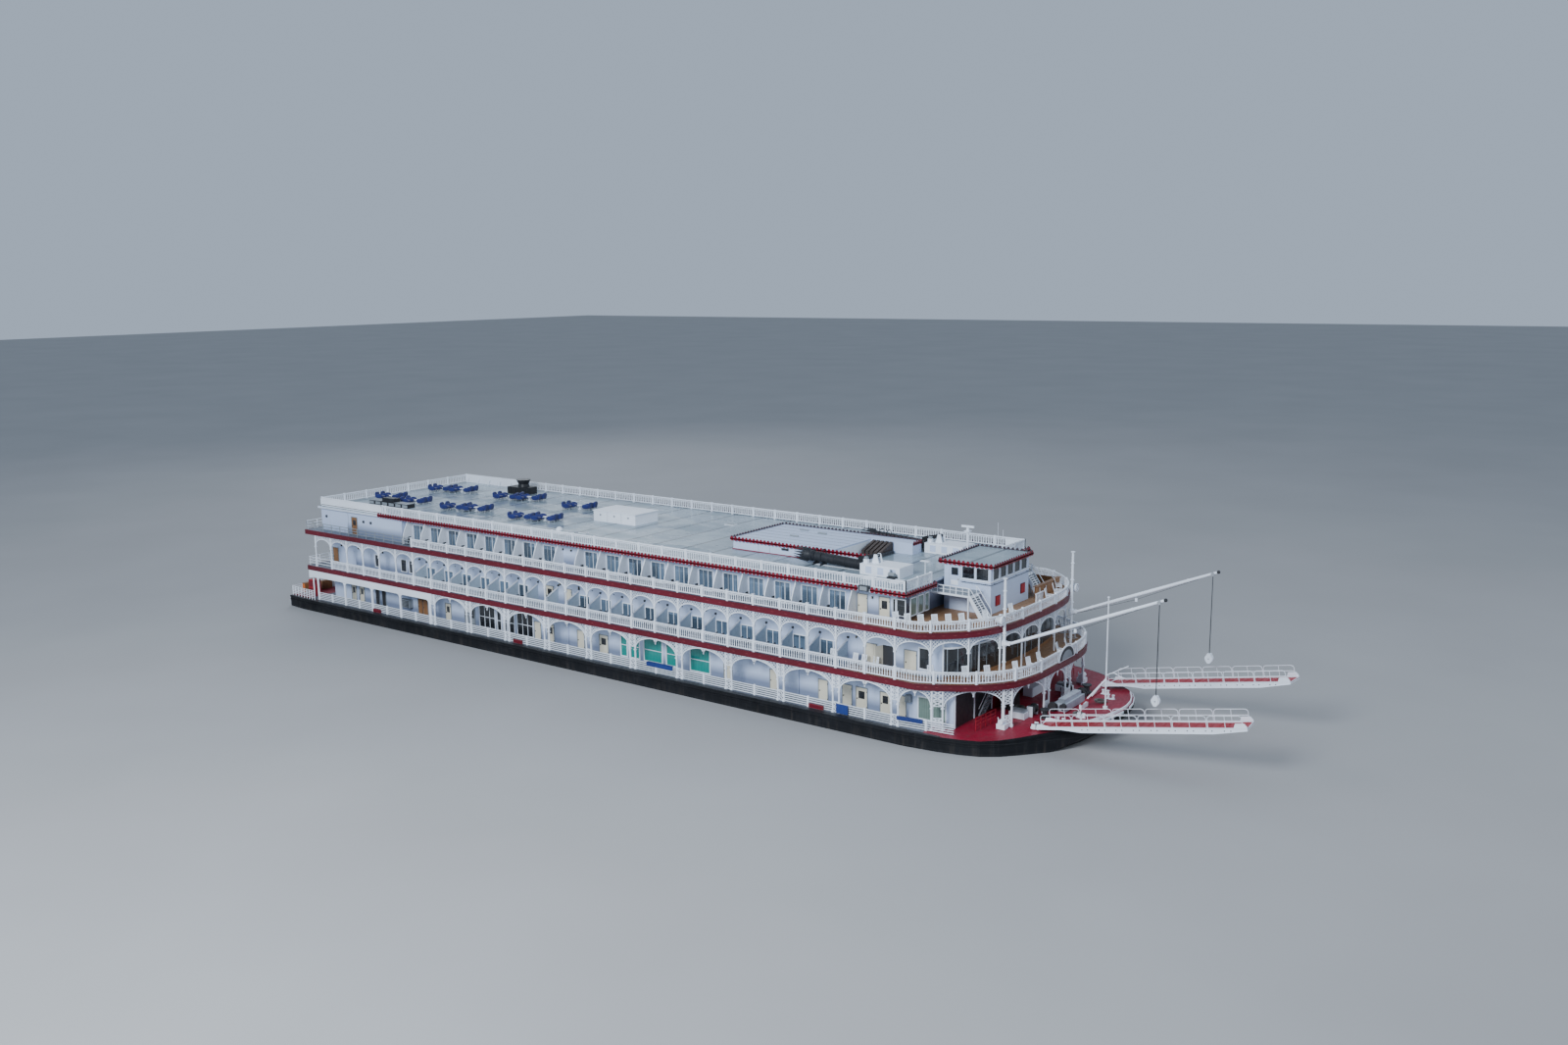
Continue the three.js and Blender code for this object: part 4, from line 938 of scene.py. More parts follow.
k = Kit()
line3 = bow_line(front3, 0.009, bx(27))
balustrade(k, resample(line3, 56), Z_3, 1.24)
for p in resample(line3, 10):
    k.box(p[0] - 0.010, p[0] + 0.010, p[1] - 0.010, p[1] + 0.010, Z_3 + 0.0006, 1.248, "trim_white")
k.make("balustrade_bow_3", replaces=("bow_rail_3",))

# columns round the foredeck: pairs with lattice between them, arches from pair to pair
k = Kit()
top = Z_2 - BAND + 0.004
pair_list = [((3.96, 1.13), (4.045, 1.09)), ((4.262, 0.76), (4.31, 0.69)), ((4.36, 0.25), (4.36, 0.16))]
nodes_line = [(bx(27) + 0.02, -1.18)]
seq = []
for e in (-1, 1):
    group = []
    for (xa, ya), (xb, yb) in pair_list:
        xa, xb = min(xa, front2(ya) - 0.024), min(xb, front2(yb) - 0.024)
        for x, yy in ((xa, ya), (xb, yb)):
            zf = sheer(x + 0.009) + 0.0008
            k.rod((x, e * yy, zf), (x, e * yy, top), 0.0085, "trim_white", 12)
            k.box(x - 0.012, x + 0.012, e * yy - 0.012, e * yy + 0.012, zf, zf + 0.02, "trim_white")
            k.box(x - 0.012, x + 0.012, e * yy - 0.012, e * yy + 0.012, 0.520, 0.532, "trim_white")
        a, b = Vector((xa, e * ya, 0)), Vector((xb, e * yb, 0))
        dd = (b - a).normalized()
        for za, zb in ((sheer(xb) + 0.01, 0.445), (0.545, top - 0.004)):
            rows = 3
            h = (zb - za) / rows
            for r in range(rows):
                z1, z2 = Vector((0, 0, za + h * r)), Vector((0, 0, za + h * (r + 1)))
                nn = Vector((-dd.y, dd.x, 0))
                k.beam(a + z1, b + z2, 0.009, 0.007, "trim_white", nn)
                k.beam(b + z1, a + z2, 0.009, 0.007, "trim_white", nn)
                k.beam(a + z1, b + z1, 0.006, 0.007, "trim_white", nn)
            k.beam(a + z2, b + z2, 0.006, 0.007, "trim_white", Vector((-dd.y, dd.x, 0)))
        group.append(((xa, e * ya), (xb, e * yb)))
    seq.append(group)
spans = []
for g, e in zip(seq, (-1, 1)):
    spans.append(((bx(27) + 0.032, e * (HALF - 0.009)), g[0][0]))
    spans.append((g[0][1], g[1][0]))
    spans.append((g[1][1], g[2][0]))
spans.append((seq[0][2][1], seq[1][2][1]))
for (xa, ya), (xb, yb) in spans:
    curved_arches(k, [(xa, ya), (xb, yb)], 0.545, top - 0.018, top)
    cx, cy = (xa + xb) / 2, (ya + yb) / 2
    nn = Vector((-(yb - ya), xb - xa, 0)).normalized()
    dd = Vector((xb - xa, yb - ya, 0)).normalized()
    c = Vector((cx, cy, 0))
    for dx, z1, z2 in ((0.04, top - 0.004, 0.655), (0.024, 0.668, 0.634)):
        k.beam(c - dd * dx + Vector((0, 0, z1)), c + Vector((0, 0, z2)), 0.008, 0.008, "trim_white", nn)
        k.beam(c + dd * dx + Vector((0, 0, z1)), c + Vector((0, 0, z2)), 0.008, 0.008, "trim_white", nn)
    k.rod((cx, cy, top), (cx, cy, 0.615), 0.005, "trim_white", 8)
k.make("columns_bow", replaces=("bow_columns",))

# ------------------------------------------------------------------ stern rails
for z, name in ((Z_2, "stern_rail_2"), (Z_3, "stern_rail_3")):
    k = Kit()
    x = X_AFT + 0.012
    y1 = HALF - 0.022
    for j in range(19):
        y = -y1 + 2 * y1 * j / 18
        k.rod((x, y, z + 0.0006), (x, y, z + 0.1), 0.0042, "trim_white", 8)
    for h in (0.035, 0.067, 0.1):
        k.rod((x, -y1, z + h), (x, y1, z + h), 0.0036, "trim_white", 8)
    k.make(name + "_pipes", replaces=(name,))

# ------------------------------------------------------------------ roof rail, bare stern panels and crest
k = Kit()
zr, zt = Z_ROOF, 1.522
x1 = 3.443
XP = -3.27
first = math.ceil((XP - X0) / BAY)
for e in (-1, 1):
    y = e * ROOF_RAIL
    xs = [XP] + [bx(i) for i in range(first, 28) if bx(i) < x1 - 0.05] + [x1]
    for a, b in zip(xs[:-1], xs[1:]):
        balustrade(k, [(a, y), (b, y)], zr, zt, pitch=0.0262)
    for a in xs:
        k.box(a - 0.010, a + 0.010, y - 0.009, y + 0.009, zr + 0.0006, zt + 0.005, "trim_white")
    balustrade(k, [(x1, y), (x1, e * 0.65)], zr, zt, pitch=0.0262)
    for yy in (0.65, 0.86, ROOF_RAIL):
        k.box(x1 - 0.010, x1 + 0.010, e * yy - 0.010, e * yy + 0.010, zr + 0.0006, zt + 0.005, "trim_white")
    # bare board: a framed panel with a dark moulding under it
    yo, yi = e * (ROOF_RAIL + 0.012), e * (ROOF_RAIL - 0.004)
    a, b = sorted((yo, yi))
    k.box(X0 - 0.002, XP, a, b, zr + 0.0006, 1.522, "trim_white")
    for za, zb in ((zr + 0.002, zr + 0.012), (1.513, 1.523)):
        k.sbox(e, X0 - 0.002, XP, ROOF_RAIL + 0.010, ROOF_RAIL + 0.016, za, zb, "trim_white")
    k.sbox(e, X0 - 0.002, XP, ROOF_RAIL + 0.011, ROOF_RAIL + 0.0155, zr + 0.014, zr + 0.018, "dark_grey")
    for xx in (X0 - 0.002, XP - 0.010):
        k.sbox(e, xx, xx + 0.010, ROOF_RAIL + 0.010, ROOF_RAIL + 0.016, zr + 0.002, 1.522, "trim_white")
    # brackets that hold the board
    for q in range(6):
        xx = X0 + 0.06 + (XP - X0 - 0.12) * q / 5
        k.sbox(e, xx - 0.004, xx + 0.004, ROOF_RAIL - 0.05, ROOF_RAIL - 0.003, zr + 0.0006, zr + 0.006, "trim_white")
        k.beam((xx, e * (ROOF_RAIL - 0.048), zr + 0.004), (xx, e * (ROOF_RAIL - 0.004), zr + 0.07), 0.006, 0.006, "trim_white", (1, 0, 0))
    # a balustrade behind the board, as seen from the roof
xa = X0 + 0.006
n = 36
for i in range(7):
    ya, yb = -ROOF_RAIL + 2 * ROOF_RAIL * i / 7, -ROOF_RAIL + 2 * ROOF_RAIL * (i + 1) / 7
    balustrade(k, [(xa, ya), (xa, yb)], zr, zt, pitch=0.0262)
    k.box(xa - 0.010, xa + 0.010, ya - 0.010, ya + 0.010, zr + 0.0006, zt + 0.005, "trim_white")
k.box(xa - 0.010, xa + 0.010, ROOF_RAIL - 0.010, ROOF_RAIL + 0.010, zr + 0.0006, zt + 0.005, "trim_white")
k.make("roof_balustrade", replaces=("roof_rail",))


def crest(k, a, b, z, out, pitch=0.0425, h=0.026, t=0.008, strip=0.010, drop=0.010, hang=0.016):
    """crest of peaks standing on an edge from a to b (plan points): red on its outer half, dark on its inner half"""
    a, b = Vector((*a, z)), Vector((*b, z))
    d = b - a
    L = d.length
    d.normalize()
    nn = Vector((-d.y, d.x, 0)) * out
    n = max(1, round(L / pitch))
    p = L / n
    base = strip - drop
    low = Vector((0, 0, base - strip))
    for off, th, mat in ((t * 0.2, t * 0.3, "crest_red"), (-t / 2, t * 0.7, "crest_back")):
        o = a + nn * off
        k.cell([o + low, o + d * L + low, o + d * L + Vector((0, 0, base)), o + Vector((0, 0, base))], nn * th, mat)
        for i in range(n):
            c = a + d * (p * (i + 0.5)) + nn * off
            pts = [c + d * (p * q) + Vector((0, 0, base + w)) for q, w in
                   ((-0.5, -strip), (-0.5, 0.0), (-0.30, h * 0.36), (-0.15, h * 0.84), (0, h), (0.15, h * 0.84), (0.30, h * 0.36), (0.5, 0.0),
                    (0.5, -strip), (0.32, -strip - hang * 0.55), (0.14, -strip - hang * 0.95), (-0.14, -strip - hang * 0.95), (-0.32, -strip - hang * 0.55))]
            k.cell(pts, nn * th, mat)


k = Kit()
edge = 0.004
for e in (-1, 1):
    xs0 = XP - 0.03
    y = e * (ROOF_HALF + edge)
    if e < 0:
        crest(k, (xs0, y), (3.02, y), Z_ROOF, e)
        crest(k, (3.14, y), (ROOF_FWD + edge, y), Z_ROOF, e)
    else:
        crest(k, (xs0, y), (ROOF_FWD + edge, y), Z_ROOF, e)
    crest(k, (ROOF_FWD + edge, e * ROOF_HALF), (ROOF_FWD + edge, e * 0.62), Z_ROOF, e)
    crest(k, (ROOF_FWD + edge, e * 0.616), (3.386, e * 0.616), Z_ROOF, e)
k.make("roof_crest")

k = Kit()
hx0, hx1, hy, hz = 1.13, 2.712, 0.428, 1.530
low = dict(h=0.022, strip=0.009, drop=0.009, hang=0.013)
for e in (-1, 1):
    crest(k, (hx0, e * (hy + edge)), (hx1, e * (hy + edge)), hz, e, **low)
crest(k, (hx0 - edge, -hy), (hx0 - edge, hy), hz, 1, **low)
crest(k, (hx1 + edge, 0.274), (hx1 + edge, hy), hz, -1, **low)
k.make("roof_house_crest")

k = Kit()
px0, px1, py, pz = 3.354, 3.875, 0.364, 1.565
low = dict(h=0.024, strip=0.010, drop=0.010, hang=0.014)
for e in (-1, 1):
    crest(k, (px0, e * (py + edge)), (px1, e * (py + edge)), pz, e, **low)
crest(k, (px1 + edge, -py), (px1 + edge, py), pz, -1, **low)
crest(k, (px0 - edge, -py), (px0 - edge, py), pz, 1, **low)
k.make("pilothouse_crest")


# ------------------------------------------------------------------ doors and windows
def window(k, e, x0, x1, z0, z1, mat, wall=WALL, frame_mat="trim_white", mull=0, rail=0, proud=0.005, fw=0.008):
    """pane with a frame, mullions and a mid rail, on a side wall"""
    k.sbox(e, x0, x1, wall - 0.002, wall + 0.0015, z0, z1, mat)
    for a, b, c, d in ((x0 - fw, x1 + fw, z1, z1 + fw), (x0 - fw, x1 + fw, z0 - fw, z0), (x0 - fw, x0, z0, z1), (x1, x1 + fw, z0, z1)):
        k.sbox(e, a, b, wall - 0.002, wall + proud, c, d, frame_mat)
    for i in range(mull):
        x = x0 + (x1 - x0) * (i + 1) / (mull + 1)
        k.sbox(e, x - 0.003, x + 0.003, wall, wall + 0.0035, z0, z1, frame_mat)
    if rail:
        z = z0 + (z1 - z0) * rail
        k.sbox(e, x0, x1, wall, wall + 0.0035, z - 0.003, z + 0.003, frame_mat)


def door(k, e, x0, x1, z0, z1, mat="cream", wall=WALL, light=None, frame_mat="mid_grey", hinges=True, handle="dark_grey"):
    """door leaf with panels, an optional window, hinges and a handle"""
    k.sbox(e, x0, x1, wall - 0.002, wall + 0.003, z0, z1, mat)
    fw = 0.006
    for a, b, c, d in ((x0 - fw, x1 + fw, z1, z1 + fw), (x0 - fw, x0, z0, z1), (x1, x1 + fw, z0, z1)):
        k.sbox(e, a, b, wall - 0.002, wall + 0.007, c, d, frame_mat)
    w = x1 - x0
    h = z1 - z0
    if light:
        lz0, lz1 = z0 + h * light[0], z0 + h * light[1]
        k.sbox(e, x0 + w * 0.22, x1 - w * 0.22, wall, wall + 0.0038, lz0, lz1, "glass_dark")
        for a, b, c, d in ((x0 + w * 0.18, x1 - w * 0.18, lz1, lz1 + 0.004), (x0 + w * 0.18, x1 - w * 0.18, lz0 - 0.004, lz0), (x0 + w * 0.18, x0 + w * 0.22, lz0, lz1), (x1 - w * 0.22, x1 - w * 0.18, lz0, lz1)):
            k.sbox(e, a, b, wall, wall + 0.0055, c, d, mat)
    else:
        k.sbox(e, x0 + w * 0.2, x1 - w * 0.2, wall, wall + 0.0045, z0 + h * 0.55, z0 + h * 0.9, mat)
    k.sbox(e, x0 + w * 0.2, x1 - w * 0.2, wall, wall + 0.0045, z0 + h * 0.12, z0 + h * 0.42, mat)
    if hinges:
        for f in (0.15, 0.85):
            k.sbox(e, x1 - 0.002, x1 + 0.004, wall, wall + 0.009, z0 + h * f - 0.005, z0 + h * f + 0.005, "dark_grey")
    k.sbox(e, x0 + w * 0.08, x0 + w * 0.14, wall, wall + 0.009, z0 + h * 0.46, z0 + h * 0.52, handle)


def lamp(k, e, x, z, wall=WALL):
    k.sbox(e, x - 0.005, x + 0.005, wall, wall + 0.016, z - 0.008, z + 0.010, "dark_grey")
    k.sbox(e, x - 0.0035, x + 0.0035, wall + 0.004, wall + 0.019, z - 0.005, z + 0.004, "brass")


for side, e in SIDES:
    # main deck wall: positions in bays along the side
    k = Kit()
    zd = Z_MAIN + 0.003
    for a, b, kind in ((1.28, 1.55, "light"), (1.78, 2.06, "light"), (6.95, 7.24, "light"), (12.37, 12.68, "light"), (14.88, 15.27, "light"), (25.28, 25.66, "light"), (26.12, 26.46, "light"),
                       (11.72, 12.02, "plain"), (13.84, 14.15, "plain"), (22.12, 22.38, "plain"), (23.94, 24.26, "plain"), (24.80, 25.12, "plain"), (26.72, 26.98, "plain"), (20.3, 20.62, "plain")):
        door(k, e, bx(a), bx(b), zd, 0.532, light=(0.5, 0.85) if kind == "light" else None)
    for a, b in ((2.80, 3.00), (3.20, 3.40)):
        door(k, e, bx(a), bx(b), zd, 0.53, mat="dark_grey", hinges=False)
    for a, b in ((5.36, 5.62), (5.64, 5.92)):
        door(k, e, bx(a), bx(b), zd, 0.53, mat="door_wood")
    for a, b in ((8.02, 8.24), (8.34, 8.57)):
        door(k, e, bx(a), bx(b), zd, 0.55, mat="mid_grey", light=(0.1, 0.9))
    for a, b in ((8.84, 9.64), (10.84, 11.62)):
        window(k, e, bx(a), bx(b), 0.36, 0.625, "glass_dark", mull=2, rail=0.42)
    for a, b in ((9.79, 9.97), (10.1, 10.27), (10.38, 10.66)):
        window(k, e, bx(a), bx(b), 0.36, 0.6, "glass_dark", rail=0.42)
    for a, b in ((15.88, 16.13), (16.27, 16.68), (16.92, 17.68), (17.90, 18.32), (18.92, 19.70)):
        window(k, e, bx(a), bx(b), 0.372, 0.588, "glass_teal", rail=0.5, fw=0.012)
    for a, b in ((27.40, 27.79), (27.88, 28.27)):
        window(k, e, bx(a), bx(b), 0.376, 0.555, "glass_sage", fw=0.010)
    # boxes against the wall
    k.sbox(e, bx(4.45), bx(5.03), WALL, WALL + 0.05, 0.405, 0.495, "mid_grey")
    for q in range(5):
        k.sbox(e, bx(4.50), bx(4.98), WALL + 0.05, WALL + 0.053, 0.418 + q * 0.015, 0.424 + q * 0.015, "dark_grey")
    k.sbox(e, bx(27.02), bx(27.2), WALL, WALL + 0.04, 0.50, 0.56, "mid_grey")
    for b in (1.0, 2.4, 3.9, 6.2, 7.5, 12.2, 13.0, 14.5, 19.9, 21.0, 22.8, 23.5, 25.85, 27.0):
        lamp(k, e, bx(b), 0.60)
    for b in (6.4, 13.4, 20.6, 23.2):
        k.rod((bx(b), e * (WALL + 0.006), Z_MAIN + 0.004), (bx(b), e * (WALL + 0.006), Z_2 - 0.03), 0.005, "wall_white", 8)
    k.sbox(e, -4.33, 3.87, WALL, WALL + 0.004, Z_MAIN + 0.001, Z_MAIN + 0.018, "mid_grey")
    k.make(f"doors_main_{side}")

    # second deck wall: cabins
    k = Kit()
    zd = Z_2 + 0.003
    cabins = [i for i in range(6, 25) if i not in (12, 13)]
    for i in cabins:
        a, b = bx(i + 0.02), bx(i + 0.46)
        window(k, e, a, b, zd + 0.006, 0.892, "glass_blue", mull=1, frame_mat="trim_white")
        for z in (0.962, 0.992):
            k.sbox(e, bx(i + 0.62) - 0.003, bx(i + 0.62) + 0.003, WALL, WALL + 0.010, z - 0.003, z + 0.003, "dark_grey")
    for i in list(range(6, 26)):
        # divider between two cabins: a blue-grey panel with a white frame
        x = bx(i - 0.04)
        k.cell([(x - 0.004, e * a, z) for a, z in ((WALL, zd), (1.150, zd), (1.150, 0.860), (WALL, 0.928))], (0.008, 0, 0), "fin_blue")
        k.beam((x, e * WALL, 0.931), (x, e * 1.160, 0.860), 0.009, 0.014, "trim_white", (1, 0, 0))
        k.sbox(e, x - 0.007, x + 0.007, 1.150, 1.160, zd, 0.858, "trim_white")
        k.sbox(e, x + 0.004, x + 0.020, WALL + 0.001, WALL + 0.014, 0.945, 0.962, "dark_grey")
    for a, b, m, lt in ((0.22, 0.55, "door_wood", None), (12.38, 12.74, "cream", (0.5, 0.86)), (25.56, 25.98, "cream", None), (26.93, 27.32, "cream", None), (13.3, 13.62, "cream", None)):
        door(k, e, bx(a), bx(b), zd, 0.932, mat=m, light=lt)
    for a, b in ((2.9, 3.1), (4.48, 4.77), (4.97, 5.22)):
        window(k, e, bx(a), bx(b), 0.80, 0.93, "glass_dark")
    # an open door: a dark panel on the wall is painted shade standing in for the dim doorway, with the cream leaf swung
    # out
    k.sbox(e, bx(26.2), bx(26.56), WALL - 0.001, WALL + 0.002, zd, 0.94, "dark_grey")
    k.cell([(bx(26.2), e * (WALL + 0.002), zd), (bx(26.2) - 0.03, e * (WALL + 0.075), zd), (bx(26.2) - 0.03, e * (WALL + 0.075), 0.937), (bx(26.2), e * (WALL + 0.002), 0.937)], (-0.005, 0, 0), "cream")
    for a, b in ((27.42, 27.73),):
        window(k, e, bx(a), bx(b), 0.80, 0.968, "glass_dark", fw=0.010)
    for b in (0.8, 1.9, 3.4, 5.6, 12.2, 13.1, 14.0, 25.3, 26.75):
        lamp(k, e, bx(b), 0.97)
    k.sbox(e, -4.33, 3.74, WALL, WALL + 0.004, Z_2 + 0.001, Z_2 + 0.016, "mid_grey")
    k.make(f"doors_2_{side}")

    # third deck: glass doors, curved fins between the balconies
    k = Kit()
    zd = Z_3 + 0.003
    cab3 = [i for i in range(5, 25) if i != 13]
    for i in cab3:
        a, b = bx(i + 0.35), bx(i + 0.90)
        window(k, e, a, b, zd + 0.006, 1.342, "glass_blue", mull=2, frame_mat="trim_white")
        k.sbox(e, (a * 2 + b) / 3 + 0.0, (a * 2 + b) / 3 + 0.006, WALL, WALL + 0.006, zd, 1.34, "mid_grey")
    for i in list(range(5, 26)):
        x = bx(i + 0.285)
        pts = [(WALL, zd), (1.145, zd), (1.142, 1.20), (1.130, 1.255), (1.108, 1.31), (1.085, 1.35), (1.072, 1.385), (1.070, 1.401), (WALL, 1.401)]
        k.cell([(x - 0.005, e * a, z) for a, z in pts], (0.010, 0, 0), "trim_white")
        ring = [(x, e * (1.052 + 0.018 * math.cos(t)), 1.262 + 0.052 * math.sin(t)) for t in [2 * math.pi * q / 18 for q in range(19)]]
        k.path(ring, 0.0056, "fin_blue", 5)
        k.sbox(e, x + 0.0045, x + 0.016, 1.030, 1.044, 1.378, 1.392, "dark_grey")
    for i in range(6, 24, 2):
        # low screen shared by two balconies
        a, b = bx(i + 0.77), bx(i + 1.88)
        k.sbox(e, a, b, 1.162, 1.168, 1.225, 1.233, "trim_white")
        for q in range(16):
            x = a + (b - a) * (q + 0.5) / 16
            k.beam((x - 0.008, e * 1.165, Z_3 + 0.004), (x + 0.008, e * 1.165, 1.225), 0.004, 0.004, "mid_grey", (0, 1, 0))
    for a, b, m, lt in ((1.95, 2.28, "door_wood", (0.55, 0.85)), (25.34, 25.66, "cream", None), (26.08, 26.42, "cream", (0.5, 0.86))):
        door(k, e, bx(a), bx(b), zd, 1.345, mat=m, light=lt, wall=1.08 if a < 5 else WALL)
    window(k, e, bx(26.67), bx(26.93), 1.215, 1.345, "glass_dark", fw=0.008)
    window(k, e, bx(26.54), bx(26.61), 1.215, 1.345, "glass_dark", fw=0.005)
    for b, w in ((0.35, 1.08), (2.7, 1.08), (3.15, 1.08)):
        k.sbox(e, bx(b) - 0.010, bx(b) + 0.010, w, w + 0.014, 1.30, 1.325, "dark_grey")
    for b in (13.3, 13.7, 25.85):
        lamp(k, e, bx(b), 1.33)
    k.sbox(e, bx(1.72) - 0.0015, bx(1.72) + 0.0015, 1.079, 1.0815, zd, 1.40, "mid_grey")
    k.make(f"doors_3_{side}")

# front of the second deck house: a curved dark glazed front
k = Kit()
pts = []
for q in range(-24, 25):
    t = q / 24 * math.pi / 2
    pts.append(Vector((3.76 + 0.232 * math.cos(t), 0.982 * math.sin(t), 0)))
for i in range(len(pts) - 1):
    a, b = pts[i], pts[i + 1]
    d = (b - a).normalized()
    nn = Vector((d.y, -d.x, 0))
    for zz0, zz1, mat, off in ((Z_2 + 0.03, 0.99, "glass_dark", 0.0015), (Z_2 + 0.001, Z_2 + 0.03, "door_wood", 0.004), (0.99, 1.004, "trim_white", 0.005)):
        q4 = [a + Vector((0, 0, zz0)), b + Vector((0, 0, zz0)), b + Vector((0, 0, zz1)), a + Vector((0, 0, zz1))]
        k.cell(q4, nn * off, mat)
    if i % 4 == 2:
        k.beam(a + nn * 0.002 + Vector((0, 0, Z_2 + 0.03)), a + nn * 0.002 + Vector((0, 0, 0.99)), 0.005, 0.006, "mid_grey", nn)
    if i % 12 == 0:
        k.beam(a + nn * 0.003 + Vector((0, 0, Z_2 + 0.002)), a + nn * 0.003 + Vector((0, 0, 1.09)), 0.012, 0.010, "trim_white", nn)
k.make("front_glazing_2")

# front of the third deck house and of the main house
k = Kit()
for e in (-1, 1):
    for a, b in ((0.955, 0.865), (0.835, 0.755), (0.725, 0.665)):
        y0, y1 = sorted((e * a, e * b))
        xf = 3.43
        k.box(xf - 0.001, xf + 0.0025, y0, y1, 1.21, 1.352, "glass_sage")
        for c0, c1, z0, z1 in ((y0 - 0.006, y1 + 0.006, 1.352, 1.359), (y0 - 0.006, y1 + 0.006, 1.203, 1.21), (y0 - 0.006, y0, 1.21, 1.352), (y1, y1 + 0.006, 1.21, 1.352)):
            k.box(xf - 0.001, xf + 0.006, c0, c1, z0, z1, "trim_white")
k.make("front_windows_3")

k = Kit()
xf = 3.87
for c in (-0.20, 0.16, 0.45, 0.78):
    y0, y1 = c - 0.055, c + 0.055
    k.box(xf, xf + 0.003, y0, y1, Z_MAIN + 0.003, 0.54, "bright_red")
    k.box(xf, xf + 0.006, y0 - 0.006, y1 + 0.006, 0.54, 0.547, "trim_white")
    k.box(xf, xf + 0.005, y0 + 0.03, y1 - 0.03, 0.46, 0.51, "glass_dark")
k.box(xf, xf + 0.002, -0.35, 0.995, Z_MAIN + 0.002, 0.60, "crest_red")
# the starboard half of the front is an open bay: a flat dark panel on the wall is painted shade standing in for its dim
# inside
k.box(xf, xf + 0.002, -0.985, -0.352, Z_MAIN + 0.002, 0.66, "dark_grey")
for y in (-0.985, -0.66, -0.356):
    k.box(xf, xf + 0.008, y - 0.006, y + 0.006, Z_MAIN + 0.002, 0.66, "trim_white")
k.make("front_main")

# ------------------------------------------------------------------ pilothouse: panes, mullions, rail, plaques
k = Kit()
px0, px1, ph = 3.4, 3.845, 0.35
sill, head = 1.432, 1.538
for e in (-1, 1):
    for a, b in ((0.170, 0.292), (0.304, 0.425)):
        k.sbox(e, px0 + a, px0 + b, ph - 0.009, ph - 0.005, sill, head, "glass_dark")
        for c0, c1, z0, z1 in ((a, b, head - 0.004, head), (a, b, sill, sill + 0.004), (a, a + 0.004, sill, head), (b - 0.004, b, sill, head)):
            k.sbox(e, px0 + c0, px0 + c1, ph - 0.010, ph + 0.002, z0, z1, "trim_white")
    k.sbox(e, px0 + 0.16, px1 + 0.004, ph, ph + 0.006, sill - 0.010, sill - 0.002, "trim_white")
for j in range(-2, 3):
    y0, y1 = j * 0.128 - 0.055, j * 0.128 + 0.055
    k.box(px1 - 0.009, px1 - 0.005, y0, y1, sill, head, "glass_dark")
    for c0, c1, z0, z1 in ((y0, y1, head - 0.004, head), (y0, y1, sill, sill + 0.004), (y0, y0 + 0.004, sill, head), (y1 - 0.004, y1, sill, head)):
        k.box(px1 - 0.010, px1 + 0.002, c0, c1, z0, z1, "trim_white")
k.box(px1, px1 + 0.006, -0.356, 0.356, sill - 0.010, sill - 0.002, "trim_white")
for j in range(-1, 2):
    y0, y1 = j * 0.17 - 0.06, j * 0.17 + 0.06
    k.box(px0 + 0.005, px0 + 0.009, y0, y1, sill + 0.020, head, "glass_dark")
# handrail under the windows, and two bare red plaques
for z in (1.408,):
    k.path([(px0 + 0.17, -ph - 0.020, z), (px1 + 0.016, -ph - 0.020, z), (px1 + 0.022, -ph - 0.014, z), (px1 + 0.022, ph + 0.014, z), (px1 + 0.016, ph + 0.020, z), (px0 + 0.17, ph + 0.020, z)], 0.0028, "dark_grey", 6)
    for yy in (-0.3, -0.1, 0.1, 0.3):
        k.rod((px1, yy, z), (px1 + 0.022, yy, z), 0.0022, "dark_grey", 6)
    for e in (-1, 1):
        for xx in (px0 + 0.2, px0 + 0.4):
            k.rod((xx, e * ph, z), (xx, e * (ph + 0.020), z), 0.0022, "dark_grey", 6)
for yy, z in ((-0.227, 1.212), (0.235, 1.230)):
    k.box(px1, px1 + 0.008, yy - 0.034, yy + 0.034, z, z + 0.078, "bright_red")
    k.box(px1, px1 + 0.006, yy - 0.040, yy + 0.040, z - 0.005, z + 0.083, "band_red")
k.make("pilothouse_trim")

for side, e in SIDES:
    k = Kit()
    k.sbox(e, 3.4695, 3.5325, ph - 0.0075, ph - 0.0045, 1.4505, 1.5135, "glass_dark")
    k.sbox(e, 3.535, 3.541, ph - 0.001, ph + 0.006, 1.412, 1.422, "brass")
    k.sbox(e, 3.466, 3.534, ph - 0.0011, ph + 0.001, 1.365, 1.405, "trim_white")
    k.make(f"pilothouse_door_trim_{side}", body=f"pilothouse_door_{side}")

# steering wheel and console inside
k = Kit()
cx, cz = 3.705, 1.446
for q in range(8):
    t = q * math.pi / 4
    k.rod((cx, 0, cz), (cx, 0.034 * math.cos(t), cz + 0.034 * math.sin(t)), 0.0022, "door_wood", 6)
ring = [(cx, 0.026 * math.cos(t), cz + 0.026 * math.sin(t)) for t in [2 * math.pi * q / 24 for q in range(25)]]
k.path(ring, 0.003, "door_wood", 6)
k.rod((cx, 0, cz), (cx + 0.03, 0, cz), 0.005, "brass", 8)
for q in range(5):
    k.box(3.757, 3.80, -0.13 + q * 0.06, -0.09 + q * 0.06, 1.4292, 1.434, "glass_dark")
k.make("pilot_controls")

